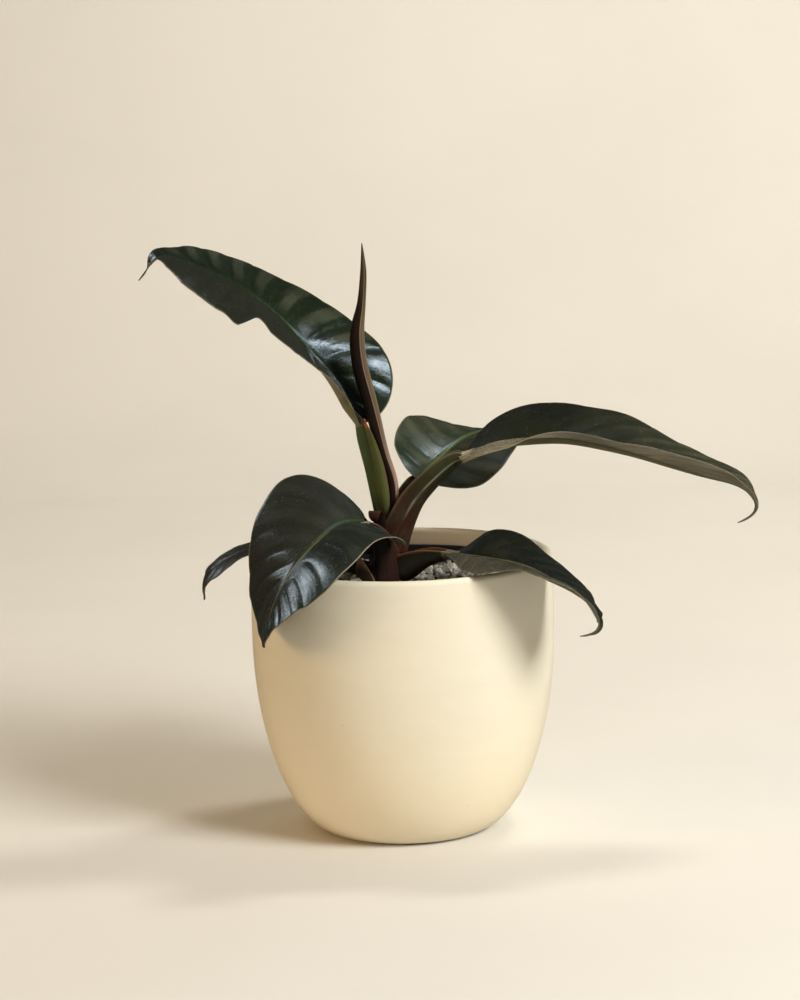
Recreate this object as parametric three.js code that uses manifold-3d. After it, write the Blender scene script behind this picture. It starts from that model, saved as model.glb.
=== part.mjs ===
// A young imperial red philodendron in a nursery pot, standing in a rounded ceramic pot.
// Millimetres, Z up. The origin is the middle of the ceramic pot's foot, the front is -Y.
import * as THREE from 'three';
import { mergeVertices } from 'three/addons/utils/BufferGeometryUtils.js';
import Module from 'manifold-3d';

const wasm = await Module();
wasm.setup();

// Driving dimensions of the ceramic pot
const potRadius = 80;
const potHeight = 146.5;
const footRadius = 42;
const bellyTop = 105;
const bellyRoundness = 1.75;
const potWall = 5.5;
const potFloor = 8;
const floorRounding = 8;
const potSides = 40;

// The plastic nursery pot that the plant grows in, standing on the ceramic pot's floor
const nurseryRimRadius = 72.5;
const nurseryBaseRadius = 45;
const nurseryTop = 138;
const nurseryWall = 1.6;
const nurseryRimDepth = 9;
const nurseryRimStep = 1.5;
const nurseryChamfer = 2;
const nurserySides = 30;
const drainHoles = 6;
const drainHoleRadius = 5;
const drainRing = 30;

// The potting soil and the layer of pumice grit on it, which is heaped a little round the stem
const soilTop = 128.5;
const gritTop = 131.5;
const gritSpacing = 5.3;
const gritRelief = 1.5;
const moundHeight = 2.5;
const moundRadius = 30;

// Clearance between pieces that touch
const gap = 0.3;

// Leaf blades: thickness, rows from stalk to tip and steps from midrib to margin
const bladeThickness = 0.9;
const rowsPerBlade = 19;
const stepsPerHalf = 4;
const lobeLength = 0.05;
const rippleFade = 4;

// Leaf stalks, and the midrib that each one runs on into under its blade
const stalkSteps = 9;
const stalkWing = 1.1;
const ribSteps = 8;
const ribStart = 0.03;
const ribEnd = 0.72;
const ribGroove = 0.02;
const ribSunk = 0.2;

// The stem stands in the middle of the crown, a little left of the pot's middle
const stemX = -9;
const stemBottom = 104;
const stemTop = 158;
const stemRadius = 8.5;
const stemSides = 14;

// Seeded random numbers, the same on every run
function seededRandom(seed) {
  let state = seed;
  return () => {
    state = (state * 1664525 + 1013904223) % 4294967296;
    return state / 4294967296;
  };
}

// Smooth curve through evenly spaced rows of numbers, at t from 0 to 1
function along(rows, t) {
  const last = rows.length - 1;
  const place = Math.min(Math.max(t, 0), 1) * last;
  const i = Math.min(Math.floor(place), last - 1);
  const f = place - i;
  return rows[0].map((_, k) => {
    const p1 = rows[i][k];
    const p2 = rows[i + 1][k];
    const p0 = i > 0 ? rows[i - 1][k] : 2 * p1 - p2;
    const p3 = i + 2 <= last ? rows[i + 2][k] : 2 * p2 - p1;
    return p1 + 0.5 * f * (p2 - p0 + f * (2 * p0 - 5 * p1 + 4 * p2 - p3 + f * (3 * (p1 - p2) + p3 - p0)));
  });
}

// The same curve through rows whose first number says where they stand
function alongUneven(rows, x) {
  let i = 0;
  while (i < rows.length - 2 && x > rows[i + 1][0]) i += 1;
  const [x1, x2] = [rows[i][0], rows[i + 1][0]];
  const f = Math.min(Math.max((x - x1) / (x2 - x1), 0), 1);
  const slope = (k, j) => {
    const [a, b] = [Math.max(j - 1, 0), Math.min(j + 1, rows.length - 1)];
    return (rows[b][k] - rows[a][k]) / (rows[b][0] - rows[a][0]);
  };
  return rows[0].map((_, k) => {
    const [p, q] = [rows[i][k], rows[i + 1][k]];
    const [m, n] = [slope(k, i) * (x2 - x1), slope(k, i + 1) * (x2 - x1)];
    return p + f * m + f * f * (3 * (q - p) - 2 * m - n) + f * f * f * (2 * (p - q) + m + n);
  });
}

const degrees = (value) => (value * Math.PI) / 180;
const vector = (values) => new THREE.Vector3(values[0], values[1], values[2]);

// Point, forward, side and up directions of a path of stations, with the side kept level
function frameAlong(stations, t, heading) {
  const at = vector(along(stations, t));
  const step = 0.01;
  const forward = vector(along(stations, Math.min(t + step, 1)))
    .sub(vector(along(stations, Math.max(t - step, 0))))
    .normalize();
  const level = new THREE.Vector3(Math.sin(degrees(heading)), -Math.cos(degrees(heading)), 0);
  const side = level.addScaledVector(forward, -level.dot(forward)).normalize();
  const up = new THREE.Vector3().crossVectors(side, forward);
  return { at, forward, side, up };
}

// A point of a frame's cross-section, out to the side and up from the path
const pointAcross = (frame, side, up) =>
  frame.at.clone().addScaledVector(frame.side, side).addScaledVector(frame.up, up);

// A closed geometry from shared points and triangles
function geometryOf(points, triangles) {
  const geometry = new THREE.BufferGeometry();
  const flat = points.flatMap((p) => [p.x, p.y, p.z]);
  geometry.setAttribute('position', new THREE.Float32BufferAttribute(flat, 3));
  geometry.setIndex(triangles.flat());
  return geometry;
}

// A solid for joining and cutting, and back again
function solidOf(geometry) {
  const bare = new THREE.BufferGeometry();
  bare.setAttribute('position', geometry.getAttribute('position').clone());
  if (geometry.index) bare.setIndex(geometry.index.clone());
  const merged = mergeVertices(bare, 1e-4);
  const index = Array.from(merged.index.array);
  const kept = [];
  for (let i = 0; i < index.length; i += 3) {
    const [a, b, c] = index.slice(i, i + 3);
    if (a !== b && b !== c && c !== a) kept.push(a, b, c);
  }
  const vertProperties = new Float32Array(merged.getAttribute('position').array);
  const mesh = new wasm.Mesh({ numProp: 3, vertProperties, triVerts: new Uint32Array(kept) });
  return new wasm.Manifold(mesh);
}

function geometryFrom(solid) {
  const mesh = solid.getMesh();
  const geometry = new THREE.BufferGeometry();
  geometry.setAttribute('position', new THREE.Float32BufferAttribute(mesh.vertProperties, 3));
  geometry.setIndex(Array.from(mesh.triVerts));
  return geometry;
}

// The largest piece of a solid that a cut has left in several
function largest(solid) {
  const pieces = solid.decompose();
  return pieces.reduce((best, piece) => (piece.volume() > best.volume() ? piece : best));
}

// Triangles of a flat cap over a ring of points
function capOf(ring) {
  const middle = ring.reduce((sum, p) => sum.add(p), new THREE.Vector3()).divideScalar(ring.length);
  const spokes = ring.map((p) => p.clone().sub(middle));
  const normal = new THREE.Vector3();
  spokes.forEach((p, i) => normal.add(new THREE.Vector3().crossVectors(p, spokes[(i + 1) % ring.length])));
  const x = spokes[0].clone().normalize();
  const y = new THREE.Vector3().crossVectors(normal.normalize(), x);
  const flat = spokes.map((p) => new THREE.Vector2(p.dot(x), p.dot(y)));
  return THREE.ShapeUtils.triangulateShape(flat, []);
}

// Rings of equal count joined into a closed tube with flat ends
function loft(rings) {
  const count = rings[0].length;
  const triangles = [];
  for (let r = 0; r < rings.length - 1; r += 1) {
    for (let i = 0; i < count; i += 1) {
      const j = (i + 1) % count;
      const [a, b, c, d] = [r * count + i, r * count + j, (r + 1) * count + j, (r + 1) * count + i];
      triangles.push([a, c, b], [a, d, c]);
    }
  }
  const end = (rings.length - 1) * count;
  capOf(rings[0]).forEach(([a, b, c]) => triangles.push([a, b, c]));
  capOf(rings[rings.length - 1]).forEach(([a, b, c]) => triangles.push([end + a, end + c, end + b]));
  return geometryOf(rings.flat(), triangles);
}

// A thin sheet given its thickness, both faces split into triangles alike
function thicken(points, triangles, thickness) {
  const normals = points.map(() => new THREE.Vector3());
  triangles.forEach(([a, b, c]) => {
    const normal = new THREE.Vector3().crossVectors(
      points[b].clone().sub(points[a]),
      points[c].clone().sub(points[a]),
    );
    [a, b, c].forEach((i) => normals[i].add(normal));
  });
  normals.forEach((n) => n.normalize());
  const count = points.length;
  const top = points.map((p, i) => p.clone().addScaledVector(normals[i], thickness / 2));
  const bottom = points.map((p, i) => p.clone().addScaledVector(normals[i], -thickness / 2));
  const faces = [];
  const edges = new Map();
  triangles.forEach(([a, b, c]) => {
    faces.push([a, b, c], [count + a, count + c, count + b]);
    [[a, b], [b, c], [c, a]].forEach(([p, q]) => {
      if (!edges.delete(`${q} ${p}`)) edges.set(`${p} ${q}`, [p, q]);
    });
  });
  edges.forEach(([p, q]) => faces.push([q, p, count + p], [q, count + p, count + q]));
  return geometryOf([...top, ...bottom], faces);
}

// Outline shared by the blades: place along the midrib, reach from the midrib to the margin
// as a share of the half width, and how far the side veins lean forward in degrees
const bladeOutline = [
  [0.0, 0.45, -68],
  [0.05, 0.74, -44],
  [0.13, 0.96, -24],
  [0.27, 1.04, -4],
  [0.45, 0.98, 14],
  [0.62, 0.8, 26],
  [0.78, 0.52, 36],
  [0.9, 0.25, 43],
  [0.97, 0.09, 48],
  [1.0, 0.0, 50],
];

// A point of a leaf's blade. u runs from the stalk to the tip, v from -1 on the left margin
// to 1 on the right. Each half leaves the midrib at its lift angle and bends by its curl.
function bladePoint(leaf, u, v) {
  const frame = frameAlong(leaf.blade, u, leaf.heading);
  const station = along(leaf.blade, u).slice(3);
  const [, share, sweep] = alongUneven(bladeOutline, u);
  const lobeStretch = 1 + (leaf.lobe - 1) * Math.exp(-u / lobeLength);
  const side = Math.sign(v);
  const size = Math.abs(v);
  const [liftAngle, curlAngle, ownReach] = side < 0 ? station.slice(0, 3) : station.slice(3);
  const reach = leaf.halfWidth * Math.max(share, 0) * lobeStretch * ownReach;
  const lift = degrees(liftAngle);
  const curl = degrees(curlAngle);
  const outward = (Math.sin(lift + curl * size) - Math.sin(lift)) / curl;
  const upward = (Math.cos(lift) - Math.cos(lift + curl * size)) / curl;
  const across = reach * Math.cos(degrees(sweep));
  const wave = Math.sin(leaf.ripples * 2 * Math.PI * u + side * 1.3) * Math.min(1, rippleFade * (1 - u));
  return pointAcross(frame, side * across * outward, across * upward + leaf.ripple * size * size * wave)
    .addScaledVector(frame.forward, reach * Math.sin(degrees(sweep)) * size);
}

// Rows are closer at the stalk and the tip, where the outline turns most
function rowPlace(i) {
  const t = i / rowsPerBlade;
  return 0.45 * t + 0.275 * (1 - Math.cos(Math.PI * t));
}

function bladeGeometry(leaf, grow) {
  const points = [];
  const triangles = [];
  const across = 2 * stepsPerHalf + 1;
  for (let i = 0; i < rowsPerBlade; i += 1) {
    for (let j = -stepsPerHalf; j <= stepsPerHalf; j += 1) {
      points.push(bladePoint(leaf, rowPlace(i), j / stepsPerHalf));
    }
  }
  for (let i = 0; i < rowsPerBlade - 1; i += 1) {
    for (let j = 0; j < across - 1; j += 1) {
      const [a, b] = [i * across + j, i * across + j + 1];
      const [c, d] = [a + across, b + across];
      if (j < stepsPerHalf) triangles.push([a, b, d], [a, d, c]);
      else triangles.push([a, b, c], [b, d, c]);
    }
  }
  const tip = points.length;
  points.push(bladePoint(leaf, 1, 0));
  const lastRow = (rowsPerBlade - 1) * across;
  for (let j = 0; j < across - 1; j += 1) triangles.push([lastRow + j, lastRow + j + 1, tip]);
  return thicken(points, triangles, bladeThickness + 2 * grow);
}

// Cross-section of a stalk, as steps to the side and up: round below, with a channel between
// two thin wings above. The channel is a share of the depth.
function stalkSection(width, depth, groove, grow) {
  const half = width / 2 + grow;
  const low = -depth / 2 - grow;
  const high = depth / 2 + grow;
  const shoulder = half - Math.min(0.16 * width, stalkWing) - 2 * grow;
  const floor = high - Math.max(groove * (high - low) - 2 * grow, 0);
  const bank = floor + 0.3 * (high - floor);
  const roundness = 1.1;
  const outer = [180, 210, 242, 270, 298, 330, 360].map((angle) => {
    const rise = (high - low) * (1 + Math.sin(degrees(angle))) ** roundness;
    return [half * Math.cos(degrees(angle)), Math.min(low + rise, high)];
  });
  const channel = [
    [shoulder, high],
    [shoulder * 0.62, bank],
    [0, floor],
    [-shoulder * 0.62, bank],
    [-shoulder, high],
  ];
  return [...outer, ...channel];
}

// The stalk from the crown to the blade, and the midrib that it runs on into under the blade
function stalkGeometry(leaf, grow) {
  const rings = [];
  const turn = (leaf.stalkHeading ?? leaf.heading) - leaf.heading;
  for (let i = 0; i <= stalkSteps; i += 1) {
    const t = i / stalkSteps;
    const frame = frameAlong(leaf.stalk, t, leaf.heading + turn * (1 - t) ** 1.3);
    const [, , , width, depth, groove] = along(leaf.stalk, t);
    rings.push(stalkSection(width, depth, groove, grow).map(([s, n]) => pointAcross(frame, s, n)));
  }
  const [, , , endWidth, endDepth] = leaf.stalk[leaf.stalk.length - 1];
  for (let i = 1; i <= ribSteps; i += 1) {
    const t = i / ribSteps;
    const place = ribStart + (ribEnd - ribStart) * t;
    const frame = frameAlong(leaf.blade, place, leaf.heading);
    const [, , , liftLeft, , , liftRight] = along(leaf.blade, place);
    const width = endWidth * (1 - t) * 0.8 + 1;
    const depth = endDepth * (1 - t) * 0.7 + 1;
    const droop = Math.max(0, -liftLeft, -liftRight);
    const sink = depth / 2 - ribSunk + 0.5 * width * Math.sin(degrees(droop));
    rings.push(stalkSection(width, depth, ribGroove, grow).map(([s, n]) => pointAcross(frame, s, n - sink)));
  }
  return loft(rings);
}

// The leaves. Each blade station is x, y, z of the midrib, then for the left half and for the
// right half the lift and curl in degrees and the reach as a share of the common outline.
// Each stalk station is x, y, z, width, depth and channel.
const leaves = {
  leaf_upper_left: {
    heading: 182,
    halfWidth: 35,
    lobe: 0.26,
    ripple: 0.5,
    ripples: 3,
    blade: [
      [-21, 4, 218, 8, -15, 0.87, 90, -10, 0.9],
      [-33, 8, 239.5, 7, -13, 0.93, 69, -14, 1.06],
      [-45.5, 10.5, 254.5, 2, -12, 1.01, 50, -15, 1.04],
      [-60, 10.5, 271, -5, -12, 1.04, 32, -16, 1.03],
      [-75, 8.5, 284.5, -18, -16, 1.05, 24, -15, 1.02],
      [-90, 6, 295, -20, -16, 1.05, 19, -13, 1.01],
      [-106, 3, 302.5, -13, -14, 1.03, 13, -13, 0.99],
      [-121.5, 0, 306.5, -2, -13, 1, 3, -14, 0.94],
      [-133, -2, 294, 6, -12, 1, -4, -14, 0.94],
    ],
    stalk: [
      [-8, 1, 158, 13, 8, 0.5],
      [-11, 3, 176, 10, 8.5, 0.5],
      [-14.3, 4.3, 192, 8, 8, 0.5],
      [-18, 5, 207, 7, 7.5, 0.35],
      [-20, 5.4, 215.5, 6, 5.5, 0.1],
    ],
  },
  leaf_right: {
    heading: -6,
    stalkHeading: -24,
    halfWidth: 32.9,
    lobe: 1,
    ripple: 0.5,
    ripples: 3,
    blade: [
      [35, -7.8, 200.4, -12, -19, 0.94, -5, -13, 0.96],
      [51, -10, 206.5, 5, -17, 0.96, 1, -14, 1.01],
      [68.5, -10.5, 207.8, 28, -12, 1.03, 9, -14, 1.08],
      [86.5, -14.5, 208, 31, -13, 0.99, 19, -13, 1.08],
      [104.5, -17.3, 204.5, 33, -13, 1.01, 21, -15, 1.06],
      [122.4, -19.5, 199.8, 28, -15, 1, 26, -14, 1.06],
      [140.4, -20, 193.6, 26, -14, 1.01, 29, -12, 1.08],
      [158.4, -20, 187.5, 26, -13, 1.02, 24, -12, 1.06],
      [175, -20, 182.5, 18, -18, 0.96, 2, -19, 0.94],
      [183.5, -18.5, 174.3, 28, -16, 0.98, 6, -16, 0.88],
      [175.5, -18.5, 161.8, 50, -7, 1.1, 18, -10, 0.9],
    ],
    stalk: [
      [-4, -1, 150, 21, 15, 0.72],
      [1, -2, 163, 18, 13, 0.72],
      [8, -3, 177, 14, 12, 0.66],
      [20, -5, 190, 12, 10.5, 0.55],
      [29, -6.5, 197, 9, 8, 0.3],
      [34, -7, 198, 6.5, 5.5, 0.1],
    ],
  },
  leaf_back: {
    heading: 52,
    halfWidth: 28.8,
    lobe: 0.29,
    ripple: 0.4,
    ripples: 2,
    blade: [
      [11, 14.5, 185.3, 67, -13, 0.88, -4, -12, 0.95],
      [19.2, 27, 190.6, 52, -12, 0.9, -12, -15, 0.99],
      [28.6, 36.5, 197.4, 37, -11, 1.01, -14, -16, 1.04],
      [37.7, 48, 201.7, 19, -12, 1.02, -9, -15, 0.96],
      [47, 61, 202.5, 4, -14, 1.01, -3, -14, 0.93],
      [56, 74.5, 200, -4, -14, 1.01, 2, -14, 0.92],
      [63.5, 87, 195.5, -7, -14, 1, 8, -14, 0.95],
      [69, 97, 189, -9, -14, 1, 12, -14, 0.98],
    ],
    stalk: [
      [-5, 6, 148, 15, 9, 0.6],
      [-3, 10, 160, 11, 9, 0.55],
      [2, 12, 172, 9, 8, 0.5],
      [7, 13.5, 180, 7.5, 7, 0.3],
      [10, 14, 183, 6, 5.5, 0.1],
    ],
  },
  leaf_front_left: {
    heading: 205,
    stalkHeading: 268,
    halfWidth: 42.5,
    lobe: 0.16,
    ripple: 0.4,
    ripples: 2,
    blade: [
      [-19.6, -15.5, 167, -12, -17, 1.27, 32, -15, 1.28],
      [-30.2, -31.5, 169, -16, -21, 0.92, 33, -12, 1.28],
      [-40.4, -43.5, 164, -2, -15, 0.85, 27, -12, 1.06],
      [-50, -54, 156.3, 2, -14, 0.98, 13, -14, 0.9],
      [-57.2, -61, 148, 4, -14, 1.03, -1, -15, 0.88],
      [-62.3, -66, 140.3, 10, -14, 1.02, -14, -16, 0.88],
      [-66, -71.5, 132.2, 16, -14, 1.02, -21, -16, 0.88],
      [-68.5, -77, 124.3, 25, -13, 1, -24, -15, 0.89],
      [-70, -81, 116, 33, -13, 1, -24, -13, 0.93],
    ],
    stalk: [
      [-8.5, -11.5, 128, 17, 9, 0.5],
      [-8.5, -12.5, 142, 16, 9, 0.5],
      [-10.5, -13, 154, 12.5, 8, 0.45],
      [-14.5, -13.5, 161, 9, 7, 0.3],
      [-18.8, -14.6, 164.6, 6.5, 5.5, 0.1],
    ],
  },
  leaf_low_right: {
    heading: -40,
    halfWidth: 29,
    lobe: 0.57,
    ripple: 0.4,
    ripples: 2,
    blade: [
      [26.3, -26, 151.1, -9, -16, 0.72, 5, -16, 0.25],
      [36, -35, 151.3, 16, -10, 0.93, 9, -14, 0.53],
      [45.6, -41, 150.6, 22, -9, 1, 6, -16, 0.82],
      [55.5, -48, 149.8, 9, -14, 0.96, 7, -16, 1.05],
      [65.4, -55, 147.5, -1, -15, 0.97, 20, -13, 1.04],
      [75, -62.5, 143.6, -8, -13, 1.02, 27, -13, 1],
      [85.3, -68, 139, -20, -15, 1.04, 32, -14, 0.98],
      [94.6, -71, 131.9, -30, -21, 1.07, 28, -19, 0.97],
      [98, -71.5, 124.3, -14, -19, 1.2, 38, -15, 1.02],
      [89, -75.5, 115.8, 24, -8, 1.3, 56, -9, 1.1],
    ],
    stalk: [
      [-3, -5.5, 137, 17, 14, 0.5],
      [4, -11, 142, 14.5, 14, 0.45],
      [13.5, -18.5, 147.3, 10.5, 9.5, 0.4],
      [24, -25.5, 149.6, 6.5, 5, 0.1],
    ],
  },
  leaf_low_left: {
    heading: 178,
    halfWidth: 22,
    lobe: 1,
    ripple: 0.3,
    ripples: 2,
    blade: [
      [-40.5, 4, 145, 14, -14, 1, 4, -15, 1],
      [-53.5, 5, 149.8, 13, -13, 1, 4, -16, 1],
      [-67, 6, 152, 11, -13, 1, 5, -16, 1],
      [-80.5, 7, 149.7, 4, -14, 1, 7, -16, 1],
      [-92, 8, 144.6, -4, -16, 1, 10, -15, 1],
      [-101, 9, 138, -8, -16, 1, 12, -15, 1],
      [-105, 10, 130.5, -8, -16, 1, 15, -14, 1],
      [-105.7, 10, 121.8, -8, -15, 1, 16, -14, 1],
    ],
    stalk: [
      [-15, 1, 137, 14, 8, 0.5],
      [-24, 2, 139, 9, 7.5, 0.5],
      [-32, 3, 141, 7, 6, 0.3],
      [-39, 4, 142.6, 6, 5, 0.1],
    ],
  },
};

// The new leaf, still rolled round itself. Stations are x, y, z and diameter.
const rolledLeaf = [
  [-7, -0.5, 156, 7],
  [-3.5, -1, 181, 7],
  [-8.5, -1, 202, 7],
  [-14, -1, 226, 8.6],
  [-19, -1, 247, 9.2],
  [-20, -1, 264, 8.4],
  [-17.5, -0.5, 280, 5],
  [-16.2, 0, 296, 3.6],
  [-16.7, 1, 310.5, 1],
];
const rolledSteps = 26;
const rolledSides = 14;
const marginAngle = 193;
const marginStep = 0.2;

// The roll's radius shrinks once round, so that its free margin stands up in a step
function rolledLeafGeometry(grow) {
  const rings = [];
  for (let i = 0; i <= rolledSteps; i += 1) {
    const t = i / rolledSteps;
    const frame = frameAlong(rolledLeaf, t, 180);
    const radius = along(rolledLeaf, t)[3] / 2 + grow;
    const ring = [];
    for (let k = 0; k < rolledSides; k += 1) {
      const turn = k / (rolledSides - 1);
      const angle = degrees(marginAngle + 360 * turn);
      const r = radius * (1 - marginStep * turn);
      ring.push(pointAcross(frame, r * Math.cos(angle), r * Math.sin(angle)));
    }
    rings.push(ring);
  }
  return loft(rings);
}

// The stem. Stations are x, y, z and radius.
const stemStations = [
  [stemX - 1, 0, stemBottom, 5.5],
  [stemX - 1, 0, 118, 7.5],
  [stemX, 0, 132, stemRadius],
  [stemX, 0, 142, stemRadius],
  [stemX + 1, 0, 152, 7.5],
  [stemX + 2, 0, stemTop, 5],
];

function stemGeometry(grow) {
  const rings = [];
  for (let i = 0; i <= stemSides; i += 1) {
    const frame = frameAlong(stemStations, i / stemSides, 0);
    const radius = along(stemStations, i / stemSides)[3] + grow;
    const ring = [];
    for (let k = 0; k < stemSides; k += 1) {
      const angle = (2 * Math.PI * k) / stemSides;
      ring.push(pointAcross(frame, radius * Math.cos(angle), radius * Math.sin(angle)));
    }
    rings.push(ring);
  }
  return loft(rings);
}

// A profile of radius and height, listed up the outside and down the inside, turned about Z
function turned(profile, sides) {
  const points = profile.map(([r, z]) => new THREE.Vector2(r, z));
  return new THREE.LatheGeometry(points, sides).rotateX(Math.PI / 2);
}

// Outer radius of the ceramic pot at a height: a rounded belly that runs up into a straight wall
function potOuter(height) {
  const below = Math.max((bellyTop - height) / bellyTop, 0);
  return footRadius + (potRadius - footRadius) * (1 - below ** 2) ** (1 / bellyRoundness);
}

function potGeometry() {
  const lip = potWall / 2;
  const outside = [0, 1.2, 4, 9, 16, 25, 36, 50, 66, 84, bellyTop, potHeight - lip];
  const inside = [potHeight - lip, bellyTop, 84, 66, 50, 36, 25, 17, 12];
  const edge = [36, 72, 108, 144].map(degrees);
  return turned(
    [
      [0, 0],
      ...outside.map((z) => [potOuter(z), z]),
      ...edge.map((a) => [potRadius - lip + lip * Math.cos(a), potHeight - lip + lip * Math.sin(a)]),
      ...inside.map((z) => [potOuter(z) - potWall, z]),
      [potOuter(potFloor) - floorRounding, potFloor],
      [0, potFloor],
    ],
    potSides,
  );
}

// Radius of the nursery pot's outside at a height, between its base and its rim band
function nurseryOuter(height) {
  const share = (height - potFloor - gap) / (nurseryTop - potFloor - gap);
  return nurseryBaseRadius + (nurseryRimRadius - nurseryRimStep - nurseryBaseRadius) * share;
}

const nurseryInner = (height) => nurseryOuter(height) - nurseryWall;
const nurseryFloor = potFloor + gap + nurseryWall;

function nurseryGeometry() {
  const base = potFloor + gap;
  const band = nurseryTop - nurseryRimDepth;
  const profile = [
    [0, base],
    [nurseryBaseRadius - nurseryChamfer, base],
    [nurseryOuter(base + nurseryChamfer), base + nurseryChamfer],
    [nurseryOuter(band), band],
    [nurseryRimRadius, band],
    [nurseryRimRadius, nurseryTop],
    [nurseryRimRadius - nurseryRimStep - nurseryWall, nurseryTop],
    [nurseryInner(band), band],
    [nurseryInner(nurseryFloor + nurseryChamfer), nurseryFloor + nurseryChamfer],
    [nurseryInner(nurseryFloor) - nurseryChamfer, nurseryFloor],
    [0, nurseryFloor],
  ];
  let drained = solidOf(turned(profile, nurserySides));
  for (let i = 0; i < drainHoles; i += 1) {
    const angle = (2 * Math.PI * (i + 0.5)) / drainHoles;
    const hole = new THREE.CylinderGeometry(drainHoleRadius, drainHoleRadius, 4 * nurseryWall, 12)
      .rotateX(Math.PI / 2)
      .translate(drainRing * Math.cos(angle), drainRing * Math.sin(angle), base);
    drained = drained.subtract(solidOf(hole));
  }
  return geometryFrom(drained);
}

function soilGeometry() {
  const floor = nurseryFloor + gap;
  const profile = [
    [0, floor],
    [nurseryInner(floor) - nurseryChamfer - gap, floor],
    [nurseryInner(floor + nurseryChamfer) - gap, floor + nurseryChamfer],
    [nurseryInner(soilTop) - gap, soilTop],
    [0, soilTop],
  ];
  return turned(profile, nurserySides);
}

// The grit is a flat disc with an uneven top, raised by a formula and drawn at random. It is a
// net of rings, each with six points more than the last, that just fits the nursery pot's flats.
function gritGeometry() {
  const random = seededRandom(29);
  const under = soilTop + gap;
  const radius = nurseryInner(under) * Math.cos(Math.PI / nurserySides) - 2 * gap;
  const rows = Math.round(radius / gritSpacing);
  const points = [new THREE.Vector3(0, 0, gritTop + moundHeight)];
  const starts = [0];
  for (let r = 1; r <= rows; r += 1) {
    starts.push(points.length);
    for (let k = 0; k < 6 * r; k += 1) {
      const angle = (2 * Math.PI * k) / (6 * r);
      const [x, y] = [((radius * r) / rows) * Math.cos(angle), ((radius * r) / rows) * Math.sin(angle)];
      const mound = moundHeight * Math.exp(-((x - stemX) ** 2 + y ** 2) / moundRadius ** 2);
      const relief = r < rows ? 2 * random() - 1 : -0.5;
      points.push(new THREE.Vector3(x, y, gritTop + mound + gritRelief * relief));
    }
  }
  const triangles = [];
  for (let k = 0; k < 6; k += 1) triangles.push([0, 1 + k, 1 + ((k + 1) % 6)]);
  for (let r = 1; r < rows; r += 1) {
    const inner = (k) => starts[r] + (k % (6 * r));
    const outer = (k) => starts[r + 1] + (k % (6 * (r + 1)));
    for (let s = 0; s < 6; s += 1) {
      for (let k = 0; k < r; k += 1) {
        const [a, b] = [inner(s * r + k), inner(s * r + k + 1)];
        const [c, d] = [outer(s * (r + 1) + k), outer(s * (r + 1) + k + 1)];
        triangles.push([a, c, d], [a, d, b]);
      }
      triangles.push([inner((s + 1) * r), outer(s * (r + 1) + r), outer((s + 1) * (r + 1))]);
    }
  }
  const low = points.length;
  const edge = 6 * rows;
  for (let k = 0; k < edge; k += 1) points.push(points[starts[rows] + k].clone().setZ(under));
  points.push(new THREE.Vector3(0, 0, under));
  for (let k = 0; k < edge; k += 1) {
    const j = (k + 1) % edge;
    const [a, b] = [starts[rows] + k, starts[rows] + j];
    triangles.push([a, low + k, low + j], [a, low + j, b], [low + k, low + edge, low + j]);
  }
  return geometryOf(points, triangles);
}

// Thin sheath leaves at the crown: half wrapped sheets with a pointed top.
// Stations are x, y, z, radius of the wrap and half its opening angle in degrees.
const sheaths = {
  sheath_upper: {
    facing: 205,
    stations: [
      [-6.5, -1, 180, 5.2, 88],
      [-8, -1, 192, 5, 82],
      [-10, -1, 203, 4.8, 66],
      [-12, -1, 212, 4.7, 44],
      [-13.5, -1, 219, 4.9, 12],
    ],
  },
  sheath_collar: {
    facing: 200,
    stations: [
      [-9, 1, 148, 12.5, 62],
      [-9.5, 1, 155, 12.3, 60],
      [-10, 1, 162, 12, 48],
      [-11.5, 1, 168, 11.5, 30],
      [-12.5, 1, 171.5, 12.6, 12],
    ],
  },
  sheath_tip: {
    facing: 226,
    stations: [
      [-12, -4, 133, 12, 38],
      [-13, -5, 138, 11.5, 32],
      [-14.5, -6.5, 143, 10, 22],
      [-16, -7.5, 147, 8.5, 9],
    ],
  },
};
const sheathRows = 7;
const sheathSteps = 6;

function sheathGeometry(sheath, grow) {
  const points = [];
  const triangles = [];
  for (let i = 0; i <= sheathRows; i += 1) {
    const [x, y, z, radius, opening] = along(sheath.stations, i / sheathRows);
    const half = degrees(opening) + (2 * grow) / radius;
    const lower = i === 0 ? 2 * grow : 0;
    for (let j = 0; j <= sheathSteps; j += 1) {
      const angle = degrees(sheath.facing) + half * ((2 * j) / sheathSteps - 1);
      points.push(new THREE.Vector3(x + radius * Math.cos(angle), y + radius * Math.sin(angle), z - lower));
    }
  }
  for (let i = 0; i < sheathRows; i += 1) {
    for (let j = 0; j < sheathSteps; j += 1) {
      const a = i * (sheathSteps + 1) + j;
      const c = a + sheathSteps + 1;
      triangles.push([a, a + 1, c + 1], [a, c + 1, c]);
    }
  }
  return thicken(points, triangles, bladeThickness + 2 * grow);
}

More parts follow.
